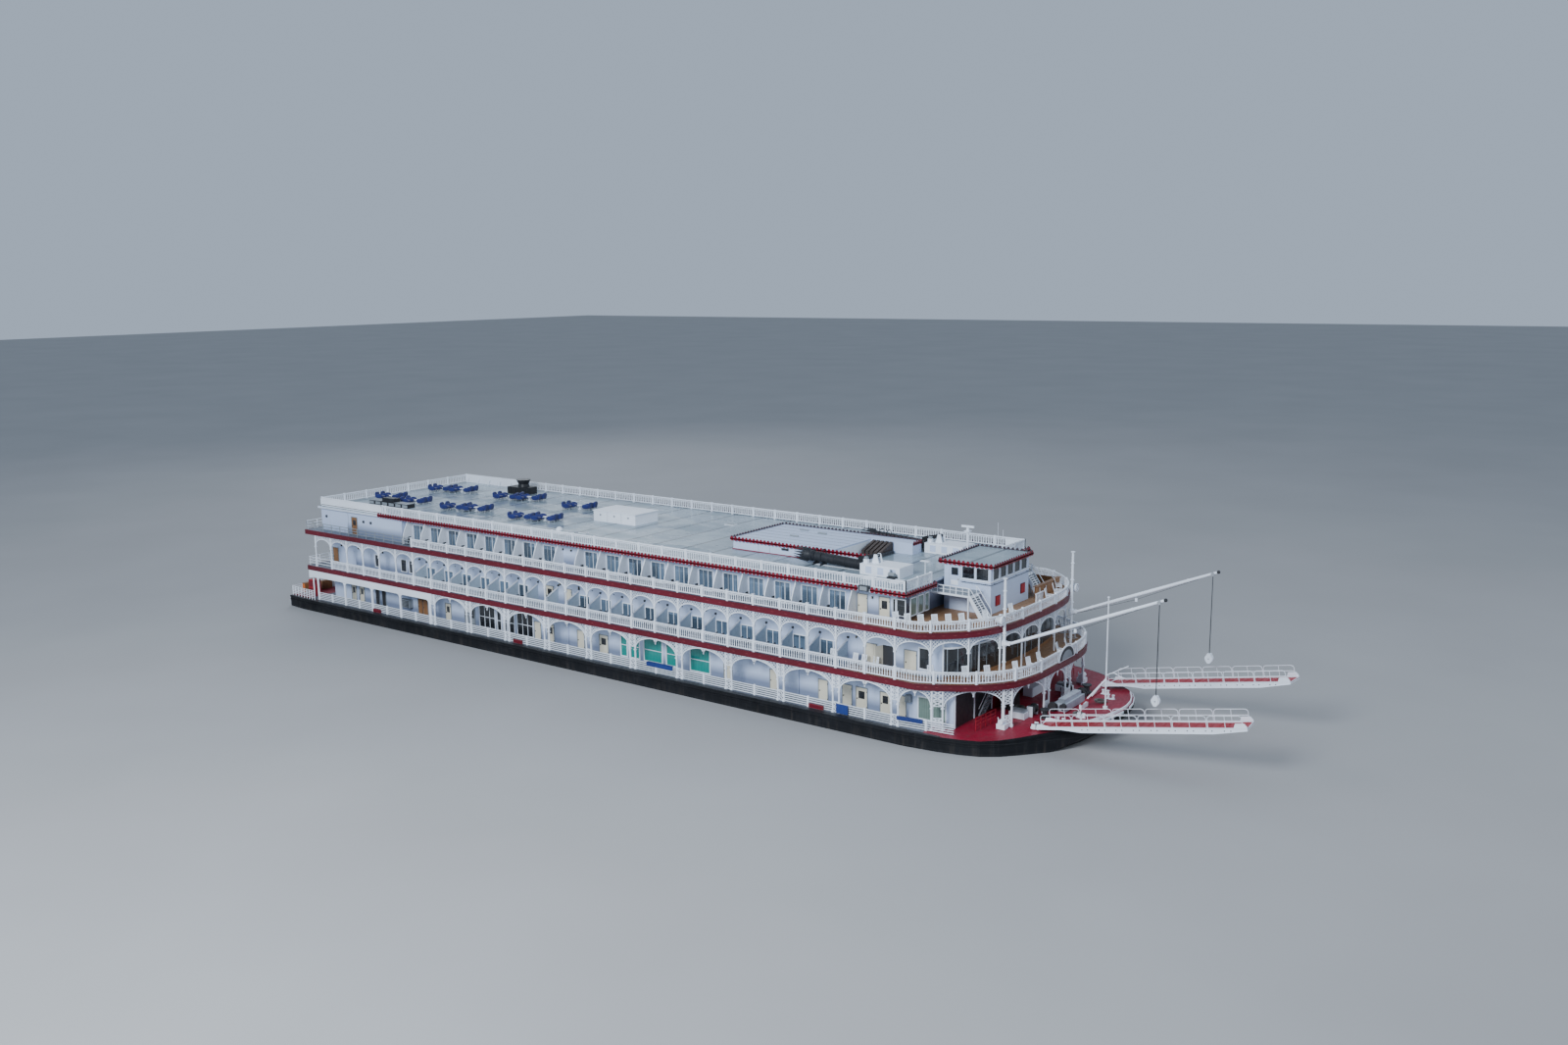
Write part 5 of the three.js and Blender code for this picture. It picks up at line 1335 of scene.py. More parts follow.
# landings: deck boards, rails and stair treads
for side, e in SIDES:
    k = Kit()
    for q in range(20):
        xx = 3.403 + q * 0.0183
        k.sbox(e, xx, xx + 0.016, 0.352, 0.572, 1.3452, 1.3464, "mid_grey")
    n = 10
    for q in range(n):
        t = (q + 0.5) / n
        x = 3.775 + 0.118 * t
        z = 1.331 - (1.331 - 1.155) * t
        k.sbox(e, x - 0.006, x + 0.012, 0.458, 0.577, z - 0.002, z + 0.002, "dark_grey")
    for yy in (0.455, 0.580):
        a, b = Vector((3.768, e * yy, 1.347)), Vector((3.905, e * yy, 1.154))
        k.beam(a, b, 0.018, 0.006, "trim_white", (0, 1, 0))
        k.path([a + Vector((-0.01, 0, 0.06)), a + Vector((0.01, 0, 0.055)), b + Vector((0, 0, 0.075)), b + Vector((0.005, 0, 0.0))], 0.0032, "trim_white", 6)
        k.rod(a, a + Vector((0, 0, 0.062)), 0.003, "trim_white", 6)
    for z in (1.378, 1.410):
        k.rod((3.403, e * 0.578, z), (3.764, e * 0.578, z), 0.0022, "trim_white", 6)
    for q in range(7):
        xx = 3.406 + q * 0.0597
        k.rod((xx, e * 0.578, 1.3455), (xx, e * 0.578, 1.411), 0.0026, "trim_white", 6)
    k.make(f"stair_{side}")

# ------------------------------------------------------------------ roof furniture and equipment
k = Kit()
cush = Kit()


def lounge(x, y, rot, g=1.15):
    """low armchair with a seat pad, a back pad and two padded arms"""
    c, s = math.cos(rot), math.sin(rot)

    def pt(a, b, h):
        return (x + g * (a * c - b * s), y + g * (a * s + b * c), Z_ROOF + 0.001 + g * h)
    for a, b in ((-0.034, -0.026), (-0.034, 0.026), (0.036, -0.026), (0.036, 0.026)):
        k.rod(pt(a, b, 0), pt(a, b, 0.014), 0.004, "steel", 6)
    for b in (-0.029, 0.029):
        k.rod(pt(-0.036, b, 0.014), pt(0.040, b, 0.014), 0.004, "steel", 6)
    cush.pillow(pt(0.006, 0, 0.028), (0.074 * g, 0.054 * g, 0.030 * g), "chair_navy", rot)
    cush.pillow(pt(-0.036, 0, 0.046), (0.022 * g, 0.060 * g, 0.062 * g), "chair_navy", rot, -0.12)
    for b in (-0.031, 0.031):
        cush.pillow(pt(0.004, b, 0.036), (0.070 * g, 0.013 * g, 0.044 * g), "chair_navy", rot, 0, 3)


def table(x, y):
    z = Z_ROOF + 0.001
    k.lathe([(0.020, z), (0.018, z + 0.003), (0.005, z + 0.006), (0.005, z + 0.038), (0.028, z + 0.040), (0.029, z + 0.045), (0.0001, z + 0.046)], (x, y, 0), "trim_white", 14)


# rows of armchairs, aft to fore: "s" is a pair side by side, "d" is two pairs back to back
rows = (((-4.104, 0.352, "s"), (-3.880, 0.430, "d"), (-3.640, 0.505, "s")),
        ((-4.158, -0.380, "s"), (-3.957, -0.297, "s")),
        ((-3.629, -0.428, "s"), (-3.457, -0.340, "s")),
        ((-2.916, -0.446, "s"), (-2.686, -0.372, "d"), (-2.440, -0.315, "s")),
        ((-2.973, 0.379, "s"), (-2.725, 0.450, "d"), (-2.486, 0.531, "s")),
        ((-1.798, -0.454, "s"), (-1.579, -0.382, "d"), (-1.350, -0.315, "s")),
        ((-1.790, 0.338, "s"), (-1.560, 0.420, "s")))
for row in rows:
    for q, (gx, gy, kind) in enumerate(row):
        for b in (-0.040, 0.040):
            if kind == "d":
                lounge(gx - 0.050, gy + b, math.pi + 0.3)
                lounge(gx + 0.050, gy + b, 0.3)
            else:
                lounge(gx, gy + b, 0.3 if q == 0 else math.pi + 0.3)
        if q:
            table((gx + row[q - 1][0]) / 2, (gy + row[q - 1][1]) / 2)
k.make("roof_furniture")
c = cush.make("roof_cushions")

# vents, hatches and drains on the roof
k = Kit()
k.lathe([(0.035, Z_ROOF + 0.001), (0.035, Z_ROOF + 0.014), (0.028, Z_ROOF + 0.028), (0.015, Z_ROOF + 0.038), (0.0, Z_ROOF + 0.041)], (-0.93, -0.66, 0), "trim_white", 20)
for x, y, w in ((-0.62, -0.62, 0.05), (0.35, 0.55, 0.06), (-2.1, 0.75, 0.05)):
    k.box(x - w, x + w, y - w * 0.6, y + w * 0.6, Z_ROOF + 0.001, Z_ROOF + 0.006, "trim_white")
    k.box(x - w * 0.8, x + w * 0.8, y - w * 0.4, y + w * 0.4, Z_ROOF + 0.006, Z_ROOF + 0.008, "mid_grey")
# lid of the white locker
lx0, lx1, ly0, ly1, lz = -1.035, -0.44, -0.05, 0.30, 1.534
k.box(lx0 - 0.008, lx1 + 0.008, ly0 - 0.008, ly1 + 0.008, lz + 0.0002, lz + 0.007, "trim_white")
for q in range(3):
    x = lx0 + (lx1 - lx0) * (q + 0.5) / 3
    k.box(x - 0.010, x + 0.010, ly0 - 0.004, ly0, lz - 0.045, lz - 0.030, "mid_grey")
    k.box(x - 0.0012 + 0.1, x + 0.0012 + 0.1, ly0 - 0.0012, ly0, Z_ROOF + 0.004, lz, "mid_grey") if q < 2 else None
# low house on the roof: plinth line, seams, small louvres, lines of the roof sheets
for e in (-1, 1):
    k.sbox(e, 1.14, 2.705, 0.412, 0.416, Z_ROOF + 0.001, Z_ROOF + 0.008, "crest_red")
    for x in (1.45, 1.58, 2.1, 2.45):
        k.sbox(e, x - 0.0015, x + 0.0015, 0.4118, 0.4135, Z_ROOF + 0.01, 1.515, "mid_grey")
    k.sbox(e, 1.72, 1.80, 0.412, 0.418, 1.475, 1.495, "dark_grey")
for q in range(6):
    y = -0.3 + q * 0.12
    k.box(1.15, 2.24, y, y + 0.004, 1.5302, 1.532, "mid_grey")
for x, y in ((1.5, 0.25), (1.75, 0.2), (1.6, -0.05)):
    k.box(x - 0.05, x + 0.05, y - 0.004, y + 0.004, 1.531, 1.545, "mid_grey")
# open bay at the fore end of the low house: slatted cover, post, white step
for q in range(5):
    x = 2.295 + q * 0.046
    k.cell([(x, 0.05, Z_ROOF + 0.001), (x, 0.25, Z_ROOF + 0.001), (x, 0.25, 1.530), (x, 0.05, 1.462)], (0.030, 0, 0), "dark_brown")
k.box(2.290, 2.525, 0.060, 0.240, Z_ROOF + 0.001, Z_ROOF + 0.030, "dark_grey")
k.rod((2.728, 0.44, Z_ROOF + 0.001), (2.728, 0.44, 1.535), 0.007, "dark_grey", 8)
k.box(2.2622, 2.2636, -0.395, 0.268, Z_ROOF + 0.001, 1.515, "trim_white")
# winch and two low white slabs by the starboard casing
k.box(3.06, 3.13, -0.735, -0.675, Z_ROOF + 0.001, Z_ROOF + 0.028, "dark_grey")
k.rod((3.065, -0.705, Z_ROOF + 0.045), (3.125, -0.705, Z_ROOF + 0.045), 0.018, "mid_grey", 12)
k.rod((3.07, -0.68, Z_ROOF + 0.03), (3.07, -0.68, Z_ROOF + 0.080), 0.005, "dark_grey", 6)
k.box(3.14, 3.23, -0.825, -0.700, Z_ROOF + 0.001, Z_ROOF + 0.014, "trim_white")
k.box(2.88, 2.96, -0.825, -0.705, Z_ROOF + 0.001, Z_ROOF + 0.016, "trim_white")
# white corner screen at the far front corner of the roof rail
k.box(3.26, 3.43, 1.045, 1.052, Z_ROOF + 0.001, 1.51, "trim_white")
k.box(3.436, 3.440, 0.86, 1.045, Z_ROOF + 0.001, 1.51, "trim_white")
# dark gap in the crest on the starboard side: a folded boarding light
k.box(3.03, 3.13, -1.122, -1.092, 1.405, 1.452, "dark_grey")
k.box(3.045, 3.115, -1.126, -1.12, 1.412, 1.445, "mid_grey")
# flood light on a pole
k.rod((3.30, -0.50, Z_ROOF + 0.001), (3.30, -0.50, 1.57), 0.004, "trim_white", 8)
k.box(3.26, 3.34, -0.52, -0.48, 1.570, 1.576, "trim_white")
# whip aerials
k.rod((3.40, 0.62, 1.52), (3.40, 0.62, 1.742), 0.0016, "trim_white", 5)
k.rod((3.60, 0.33, 1.566), (3.60, 0.33, 1.742), 0.0016, "trim_white", 5)
k.make("roof_equipment")

# counter and funnel dress
k = Kit()
for x0_, x1_ in ((-4.015, -3.93), (-3.92, -3.81), (-3.58, -3.47), (-3.46, -3.345)):
    k.box(x0_, x1_, -0.677, -0.573, 1.4682, 1.4715, "mid_grey")
k.box(-3.795, -3.595, -0.661, -0.577, 1.5082, 1.5115, "dark_grey")
for q in range(6):
    x = -3.98 + q * 0.12
    k.box(x - 0.045, x + 0.045, -0.6816, -0.6802, Z_ROOF + 0.006, 1.462, "mid_grey")
for q in range(8):
    x = -3.22 + q * 0.042
    for y0, y1 in ((0.712, 0.716), (0.904, 0.908)):
        k.box(x, x + 0.004, y0, y1, Z_ROOF + 0.01, Z_ROOF + 0.08, "dark_grey")
k.lathe([(0.086, 1.590), (0.088, 1.592), (0.088, 1.596), (0.06, 1.597), (0.0, 1.597)], (-3.04, 0.81, 0), "dark_grey", 24)
k.make("funnel_trim")

# ------------------------------------------------------------------ folding stacks
for side, e in SIDES:
    k = Kit()
    y = e * 0.545
    zc = 1.474
    heel, r, L = 2.722, 0.044, 0.733
    axis = Vector((-math.cos(math.radians(2.8)), 0, math.sin(math.radians(2.8))))
    over = Vector((math.sin(math.radians(2.8)), 0, math.cos(math.radians(2.8))))
    foot = Vector((heel, y, zc))
    prof = [(0.0001, 0.0), (r * 0.96, 0.0), (r, 0.004)]
    for q in range(4):
        a = 0.06 + q * 0.125
        prof += [(r, a), (r + 0.002, a + 0.002), (r + 0.002, a + 0.008), (r, a + 0.010)]
    prof += [(r, L - 0.188), (r + 0.005, L - 0.186), (r + 0.005, L - 0.165), (r + 0.001, L - 0.160), (r + 0.005, L - 0.148), (r + 0.016, L - 0.128), (r + 0.018, L - 0.124), (r + 0.018, L - 0.116)]
    prof += [(r + 0.012, L - 0.116), (r + 0.004, L - 0.135), (0.0001, L - 0.135)]
    k.lathe(prof, foot, "stack_grey", 32, axis)
    # crown of slender pointed feathers with gaps between them
    feathers = 16
    for q in range(feathers):
        t = 2 * math.pi * q / feathers
        c0 = Vector((0, 1, 0)) * math.cos(t) + over * math.sin(t)
        tan = over * math.cos(t) - Vector((0, 1, 0)) * math.sin(t)
        rows = []
        for u, rr, w in ((0.0, r + 0.0155, 0.014), (0.25, r + 0.0175, 0.018), (0.55, r + 0.0165, 0.013), (0.8, r + 0.013, 0.0075), (1.0, r + 0.010, 0.002)):
            p = foot + axis * (L - 0.122 + 0.122 * u) + c0 * (rr - 0.003)
            rows.append((p + tan * w / 2, p - tan * w / 2))
        for (a0, b0), (a1, b1) in zip(rows[:-1], rows[1:]):
            k.cell([a0, a1, b1, b0], c0 * 0.003, "stack_grey")
    # two lifting hoops over the tube
    for a in (0.443, 0.523):
        c = foot + axis * a
        k.path([c + Vector((0, s * (r + 0.004), 0)) + over * h if s else c + over * h for s, h in
                ((-1, -0.012), (-1, 0.030), (-0.72, 0.062), (-0.3, 0.074), (0.3, 0.074), (0.72, 0.062), (1, 0.030), (1, -0.012))], 0.0042, "stack_grey", 6)
    # arm and pin of the fold
    hx, hz = 2.85, 1.578
    side_line = [(heel - 0.060, zc + 0.020), (heel - 0.006, zc + 0.030), (heel + 0.004, zc + 0.052), (hx + 0.012, hz - 0.012), (hx + 0.012, hz + 0.012), (hx - 0.012, hz + 0.012), (heel - 0.060, zc + 0.074)]
    for yy in (y - 0.0218, y + 0.0158):
        k.cell([(a, yy, b) for a, b in side_line], (0, 0.006, 0), "stack_grey")
    k.cell([(heel - 0.055, y - 0.016, zc + 0.070), (heel - 0.055, y - 0.016, zc + 0.040), (heel + 0.030, y - 0.016, zc + 0.068), (heel + 0.030, y - 0.016, zc + 0.084)], (0, 0.032, 0), "stack_grey")
    k.rod((hx, y - 0.0245, hz), (hx, y + 0.0245, hz), 0.007, "steel", 14)
    k.make(f"stack_shell_{side}", body=f"stack_{side}", replaces=(f"stack_{side}",))
    # cradle legs and bracket that stay on the roof
    k = Kit()
    for x0_, x1_, zt_ in ((2.1954, 2.2046, 1.4512), (2.2754, 2.2846, 1.4472)):
        k.box(x0_, x1_, y - 0.0346, y + 0.0346, 1.4275, zt_, "stack_grey")
        for s in (-1, 1):
            k.beam((x0_ + 0.0046, y + s * 0.030, 1.446), (x0_ + 0.0046, y + s * 0.052, Z_ROOF + 0.002), 0.008, 0.008, "stack_grey", (1, 0, 0))
    k.box(2.189, 2.730, y - 0.0346, y - 0.030, Z_ROOF + 0.001, 1.4274, "mid_grey")
    k.box(2.189, 2.730, y + 0.030, y + 0.0346, Z_ROOF + 0.001, 1.4274, "mid_grey")
    k.box(2.760, 2.800, y - 0.085, y - 0.052, 1.5172, 1.552, "trim_white")
    k.box(2.765, 2.795, y - 0.081, y - 0.056, 1.552, 1.572, "mid_grey")
    for xx in (2.83, 2.95, 3.07):
        k.box(xx - 0.03, xx + 0.03, y - 0.1135, y - 0.1121, 1.44, 1.50, "wall_white")
    k.make(f"stack_rest_{side}")

# ------------------------------------------------------------------ paddle wheel
k = Kit()
wx, wz, wr, wh = -4.905, 0.400, 0.250, 0.56
k.rod((wx, -wh - 0.122, wz), (wx, wh + 0.122, wz), 0.0215, "steel", 24)
for y in (-wh, -wh / 3, wh / 3, wh):
    k.lathe([(0.022, -0.018), (0.052, -0.018), (0.056, -0.010), (0.056, 0.010), (0.052, 0.018), (0.022, 0.018)], (wx, y, wz), "wheel_red", 24, (0, 1, 0))
    for q in range(12):
        t = 2 * math.pi * q / 12
        d = Vector((math.cos(t), 0, math.sin(t)))
        c = Vector((wx, y, wz))
        for off in ((-0.006, 0.006) if abs(y) == wh else (0.0,)):
            k.beam(c + d * 0.04 + Vector((0, off, 0)), c + d * (wr - 0.008) + Vector((0, off, 0)), 0.013, 0.005, "wheel_red", (0, 1, 0))
    for rr, w in ((wr - 0.018, 0.010), (wr - 0.070, 0.009), (0.11, 0.008)):
        ring = [(wx + rr * math.cos(2 * math.pi * q / 48), y, wz + rr * math.sin(2 * math.pi * q / 48)) for q in range(49)]
        for a, b in zip(ring[:-1], ring[1:]):
            k.beam(a, b, w, 0.006, "wheel_red", (0, 1, 0))
    for q in range(12):
        t0, t1 = 2 * math.pi * q / 12, 2 * math.pi * (q + 1) / 12
        a = Vector((wx + 0.11 * math.cos(t0), y, wz + 0.11 * math.sin(t0)))
        b = Vector((wx + (wr - 0.070) * math.cos(t1), y, wz + (wr - 0.070) * math.sin(t1)))
        k.beam(a, b, 0.006, 0.004, "wheel_red", (0, 1, 0))
for q in range(12):
    t = 2 * math.pi * q / 12
    d = Vector((math.cos(t), 0, math.sin(t)))
    p = Vector((-math.sin(t), 0, math.cos(t)))
    c = Vector((wx, 0, wz))
    for r0, r1 in ((wr - 0.061, wr - 0.043), (wr - 0.041, wr - 0.023), (wr - 0.021, wr - 0.003)):
        m = c + d * (r0 + r1) / 2 + p * 0.004
        a = m - Vector((0, wh + 0.018, 0))
        b = m + Vector((0, wh + 0.018, 0))
        k.beam(a, b, r1 - r0, 0.006, "wheel_red", p)
    for y in (-wh, -wh / 3, wh / 3, wh):
        for rr in (wr - 0.052, wr - 0.012):
            b0 = c + d * rr + Vector((0, y, 0))
            k.rod(b0 - p * 0.003, b0 + p * 0.010, 0.0035, "steel", 8)
k.make("wheel", body="paddle_wheel", replaces=("paddle_wheel",))

# collar and bolts at the wheel's bearing, on the vessel side
k = Kit()
for e in (-1, 1):
    y0, y1 = (0.628, 0.678)
    k.lathe([(0.028, -0.003), (0.046, -0.003), (0.046, 0.003), (0.028, 0.003)], (wx, e * (y1 + 0.003), wz), "steel", 24, (0, 1, 0))
    for t in range(6):
        a = t * math.pi / 3
        k.rod((wx + 0.037 * math.cos(a), e * (y1 + 0.004), wz + 0.037 * math.sin(a)), (wx + 0.037 * math.cos(a), e * (y1 + 0.011), wz + 0.037 * math.sin(a)), 0.004, "dark_grey", 6)
    # long beam out from the stern, with its truss
    k.beam((-4.60, e * 0.653, 0.345), (-4.87, e * 0.653, 0.350), 0.012, 0.0505, "trim_white", (0, 1, 0))
    k.beam((-4.55, e * 0.653, 0.38), (-4.88, e * 0.653, 0.452), 0.008, 0.040, "trim_white", (0, 1, 0))
k.make("wheel_bearing_trim")

# ------------------------------------------------------------------ fantail: rails, red racks, stern details
k = Kit()
for e in (-1, 1):
    pts = [(-4.40, e * 1.235), (-4.60, e * 1.235), (-4.855, e * 1.212), (-4.855, e * 0.70)]
    for z in (0.365, 0.385, 0.405, 0.425, 0.445):
        k.path([(x, y, z) for x, y in pts], 0.0032, "trim_white", 6)
    for i in range(len(pts) - 1):
        for q in range(4):
            t = q / 4
            x = pts[i][0] + (pts[i + 1][0] - pts[i][0]) * t
            y = pts[i][1] + (pts[i + 1][1] - pts[i][1]) * t
            k.rod((x, y, Z_MAIN + 0.0006), (x, y, 0.448), 0.0045, "trim_white", 8)
    k.rod((-4.855, e * 0.70, Z_MAIN + 0.0006), (-4.855, e * 0.70, 0.448), 0.0045, "trim_white", 8)
    # posts under the deck's aft corner
    for x, y in ((-4.49, 1.17), (-4.49, 0.75)):
        k.rod((x, e * y, Z_MAIN + 0.0006), (x, e * y, Z_2 - BAND + 0.004), 0.0085, "trim_white", 10)
    # red racks and boxes, small gear
    k.sbox(e, -4.80, -4.745, 0.98, 1.12, Z_MAIN + 0.001, 0.47, "door_wood")
    k.sbox(e, -4.795, -4.750, 1.12, 1.124, 0.36, 0.46, "orange")
    k.sbox(e, -4.70, -4.58, 1.02, 1.10, Z_MAIN + 0.001, 0.52, "bright_red")
    k.sbox(e, -4.69, -4.59, 1.10, 1.104, 0.36, 0.42, "plate_red")
    k.sbox(e, -4.69, -4.59, 1.10, 1.104, 0.44, 0.51, "plate_red")
    k.sbox(e, -4.84, -4.80, 0.90, 1.06, Z_MAIN + 0.001, 0.42, "orange")
    k.sbox(e, -4.84, -4.79, 0.72, 0.86, Z_MAIN + 0.001, 0.44, "door_wood")
    # red plates low on the main deck rail
    for a, b in ((3.51, 3.95), (11.36, 11.80), (24.06, 24.58)):
        k.sbox(e, bx(a), bx(b), 1.198, 1.208, Z_MAIN + 0.004, 0.376, "plate_red")
        k.sbox(e, bx(a) + 0.006, bx(b) - 0.006, 1.208, 1.2095, Z_MAIN + 0.010, 0.370, "band_red")
    # blue covers
    k.sbox(e, bx(17.62), bx(18.72), 1.1945, 1.2035, 0.400, 0.432, "cover_blue")
    k.sbox(e, bx(17.62) + 0.004, bx(18.72) - 0.004, 1.176, 1.2000, 0.4325, 0.437, "cover_blue")
    k.beam((bx(27.08), e * 1.1930, 0.412), (bx(27.88), e * 1.1705, 0.412), 0.034, 0.009, "cover_blue", (0.11, e, 0))
    k.sbox(e, bx(25.05), bx(25.45), 1.200, 1.210, 0.345, 0.425, "cover_blue")
k.make("deck_gear")

# sheer strip along the hull
k = Kit()
line = [(X_STERN, 1.238), (-4.6, GUARD)] + BOW
for e in (-1, 1):
    for (xa, ya), (xb, yb) in zip(line[:-1], line[1:]):
        za, zb = sheer(xa), sheer(xb)
        k.beam((xa, e * (ya + 0.003), za - 0.010), (xb, e * (yb + 0.003), zb - 0.010), 0.018, 0.010, "trim_white" if xa > 4.69 else "hull_black", (-(yb - ya) * e, xb - xa, 0))
        k.beam((xa, e * (ya + 0.002), za - 0.045), (xb, e * (yb + 0.002), zb - 0.045), 0.012, 0.010, "hull_black", (-(yb - ya) * e, xb - xa, 0))
k.make("sheer_strip")

# ------------------------------------------------------------------ masts, booms, falls
for side, e in SIDES:
    k = Kit()
    mx, my = 4.127, e * 0.64
    for z in (0.50, 0.86, 1.10, 1.30, 1.45):
        k.lathe([(0.0135, -0.005), (0.0165, -0.003), (0.0165, 0.003), (0.0135, 0.005)], (mx, my, z), "trim_white", 16)
    for z in (1.10, 1.30):
        for s in (-1, 1):
            k.beam((mx, my, z), (mx + s * 0.018, my, z + 0.0), 0.006, 0.006, "trim_white")
    # searchlight: drum, glass and rim
    lx, ly, lz = mx - 0.034, my + e * 0.06, 1.22
    k.lathe([(0.0001, -0.008), (0.022, -0.006), (0.032, 0.004), (0.037, 0.050), (0.037, 0.056), (0.030, 0.0565), (0.030, 0.050), (0.0001, 0.050)], (lx, ly, lz), "trim_white", 24, (1, 0, 0))
    k.lathe([(0.0295, 0), (0.0001, 0.001)], (lx + 0.0510, ly, lz), "glass_dark", 24, (1, 0, 0))
    for q in range(4):
        k.lathe([(0.0300, 0), (0.0352 + 0.0008 * q, 0.001), (0.0352 + 0.0008 * q, 0.003), (0.0300, 0.004)], (lx + 0.006 + q * 0.009, ly, lz), "mid_grey", 20, (1, 0, 0))
    # ladder rungs
    for q in range(18):
        z = 0.48 + q * 0.055
        k.rod((mx - 0.012, my - 0.012, z), (mx - 0.012, my + 0.012, z), 0.0016, "trim_white", 5)
    k.make(f"mast_trim_{side}")

    k = Kit()
    tip = Vector((4.127 + 1.305, my - e * 0.055, 1.019 + 0.52))
    heel = Vector((4.127 + 0.05, my, 1.019))
    d = (tip - heel).normalized()
    L = (tip - heel).length
    prof = [(0.0001, 0.0), (0.0100, 0.0), (0.0120, 0.02), (0.0145, L * 0.25), (0.0148, L * 0.45), (0.0140, L * 0.7), (0.0110, L - 0.02), (0.0105, L), (0.0001, L)]
    k.lathe(prof, heel, "trim_white", 20, d)
    k.rod((heel.x, my - 0.0134, heel.z), (heel.x, my + 0.0134, heel.z), 0.010, "trim_white", 16)
    for f in (0.12, 0.3, 0.55, 0.8, 0.97):
        p = heel + d * (L * f)
        k.lathe([(0.011, -0.006), (0.0158, -0.004), (0.0158, 0.004), (0.011, 0.006)], p, "steel" if f == 0.97 else "trim_white", 16, d)
    # sheave block at the tip and a small block under the boom
    sheave = Vector((5.387, e * 0.587, 1.5204))
    k.lathe([(0.0105, -0.012), (0.0135, -0.008), (0.0140, 0.006), (0.009, 0.012)], tip, "dark_grey", 16, d)
    for yy in (-0.0145, 0.0145):
        k.lathe([(0.004, -0.0015), (0.015, -0.0015), (0.015, 0.0015), (0.004, 0.0015)], sheave + Vector((0, yy, -0.004)), "steel", 16, (0, 1, 0))
    p = heel + d * (L * 0.44)
    k.beam(p - Vector((0, 0, 0.012)), p - Vector((0, 0, 0.030)), 0.006, 0.004, "steel")
    k.box(p.x - 0.010, p.x + 0.010, p.y - 0.005, p.y + 0.005, p.z - 0.058, p.z - 0.028, "trim_white")
    # hoist wire along the underside
    k.path([heel + d * 0.05 - Vector((0, 0, 0.018)), heel + d * (L * 0.44) - Vector((0, 0, 0.040)), sheave + Vector((-0.02, 0, -0.016))], 0.0014, "wire", 5)
    k.make(f"boom_spar_{side}", body=f"boom_{side}", replaces=(f"boom_{side}",))

    k = Kit()
    fx, fy, fz = 5.387, e * 0.587, 1.5204
    zb = 0.745 if e < 0 else 0.800
    for s in (-1, 1):
        k.rod((fx, fy + s * 0.0035, fz - 0.024), (fx, fy + s * 0.006, zb + 0.040), 0.0018, "wire", 6)
    cheek = [(fx - 0.012, zb + 0.044), (fx + 0.012, zb + 0.044), (fx + 0.025, zb + 0.022), (fx + 0.025, zb - 0.020), (fx + 0.010, zb - 0.040), (fx - 0.010, zb - 0.040), (fx - 0.025, zb - 0.020), (fx - 0.025, zb + 0.022)]
    for yy in (-0.0185, -0.002, 0.0145):
        k.cell([(a, fy + yy, b) for a, b in cheek], (0, 0.004, 0), "trim_white")
    for yy in (-0.008, 0.008):
        k.lathe([(0.005, -0.005), (0.034, -0.005), (0.031, 0), (0.034, 0.005), (0.005, 0.005)], (fx, fy + yy, zb), "trim_white", 24, (0, 1, 0))
    k.rod((fx, fy - 0.020, zb), (fx, fy + 0.020, zb), 0.006, "steel", 12)
    k.rod((fx, fy - 0.012, zb - 0.036), (fx, fy + 0.012, zb - 0.036), 0.004, "steel", 10)
    k.path([(fx, fy, zb - 0.038), (fx, fy, zb - 0.046), (fx + 0.006, fy, zb - 0.051), (fx + 0.010, fy, zb - 0.047)], 0.0026, "steel", 8)
    k.make(f"falls_block_{side}", body=f"falls_{side}", replaces=(f"falls_{side}",))

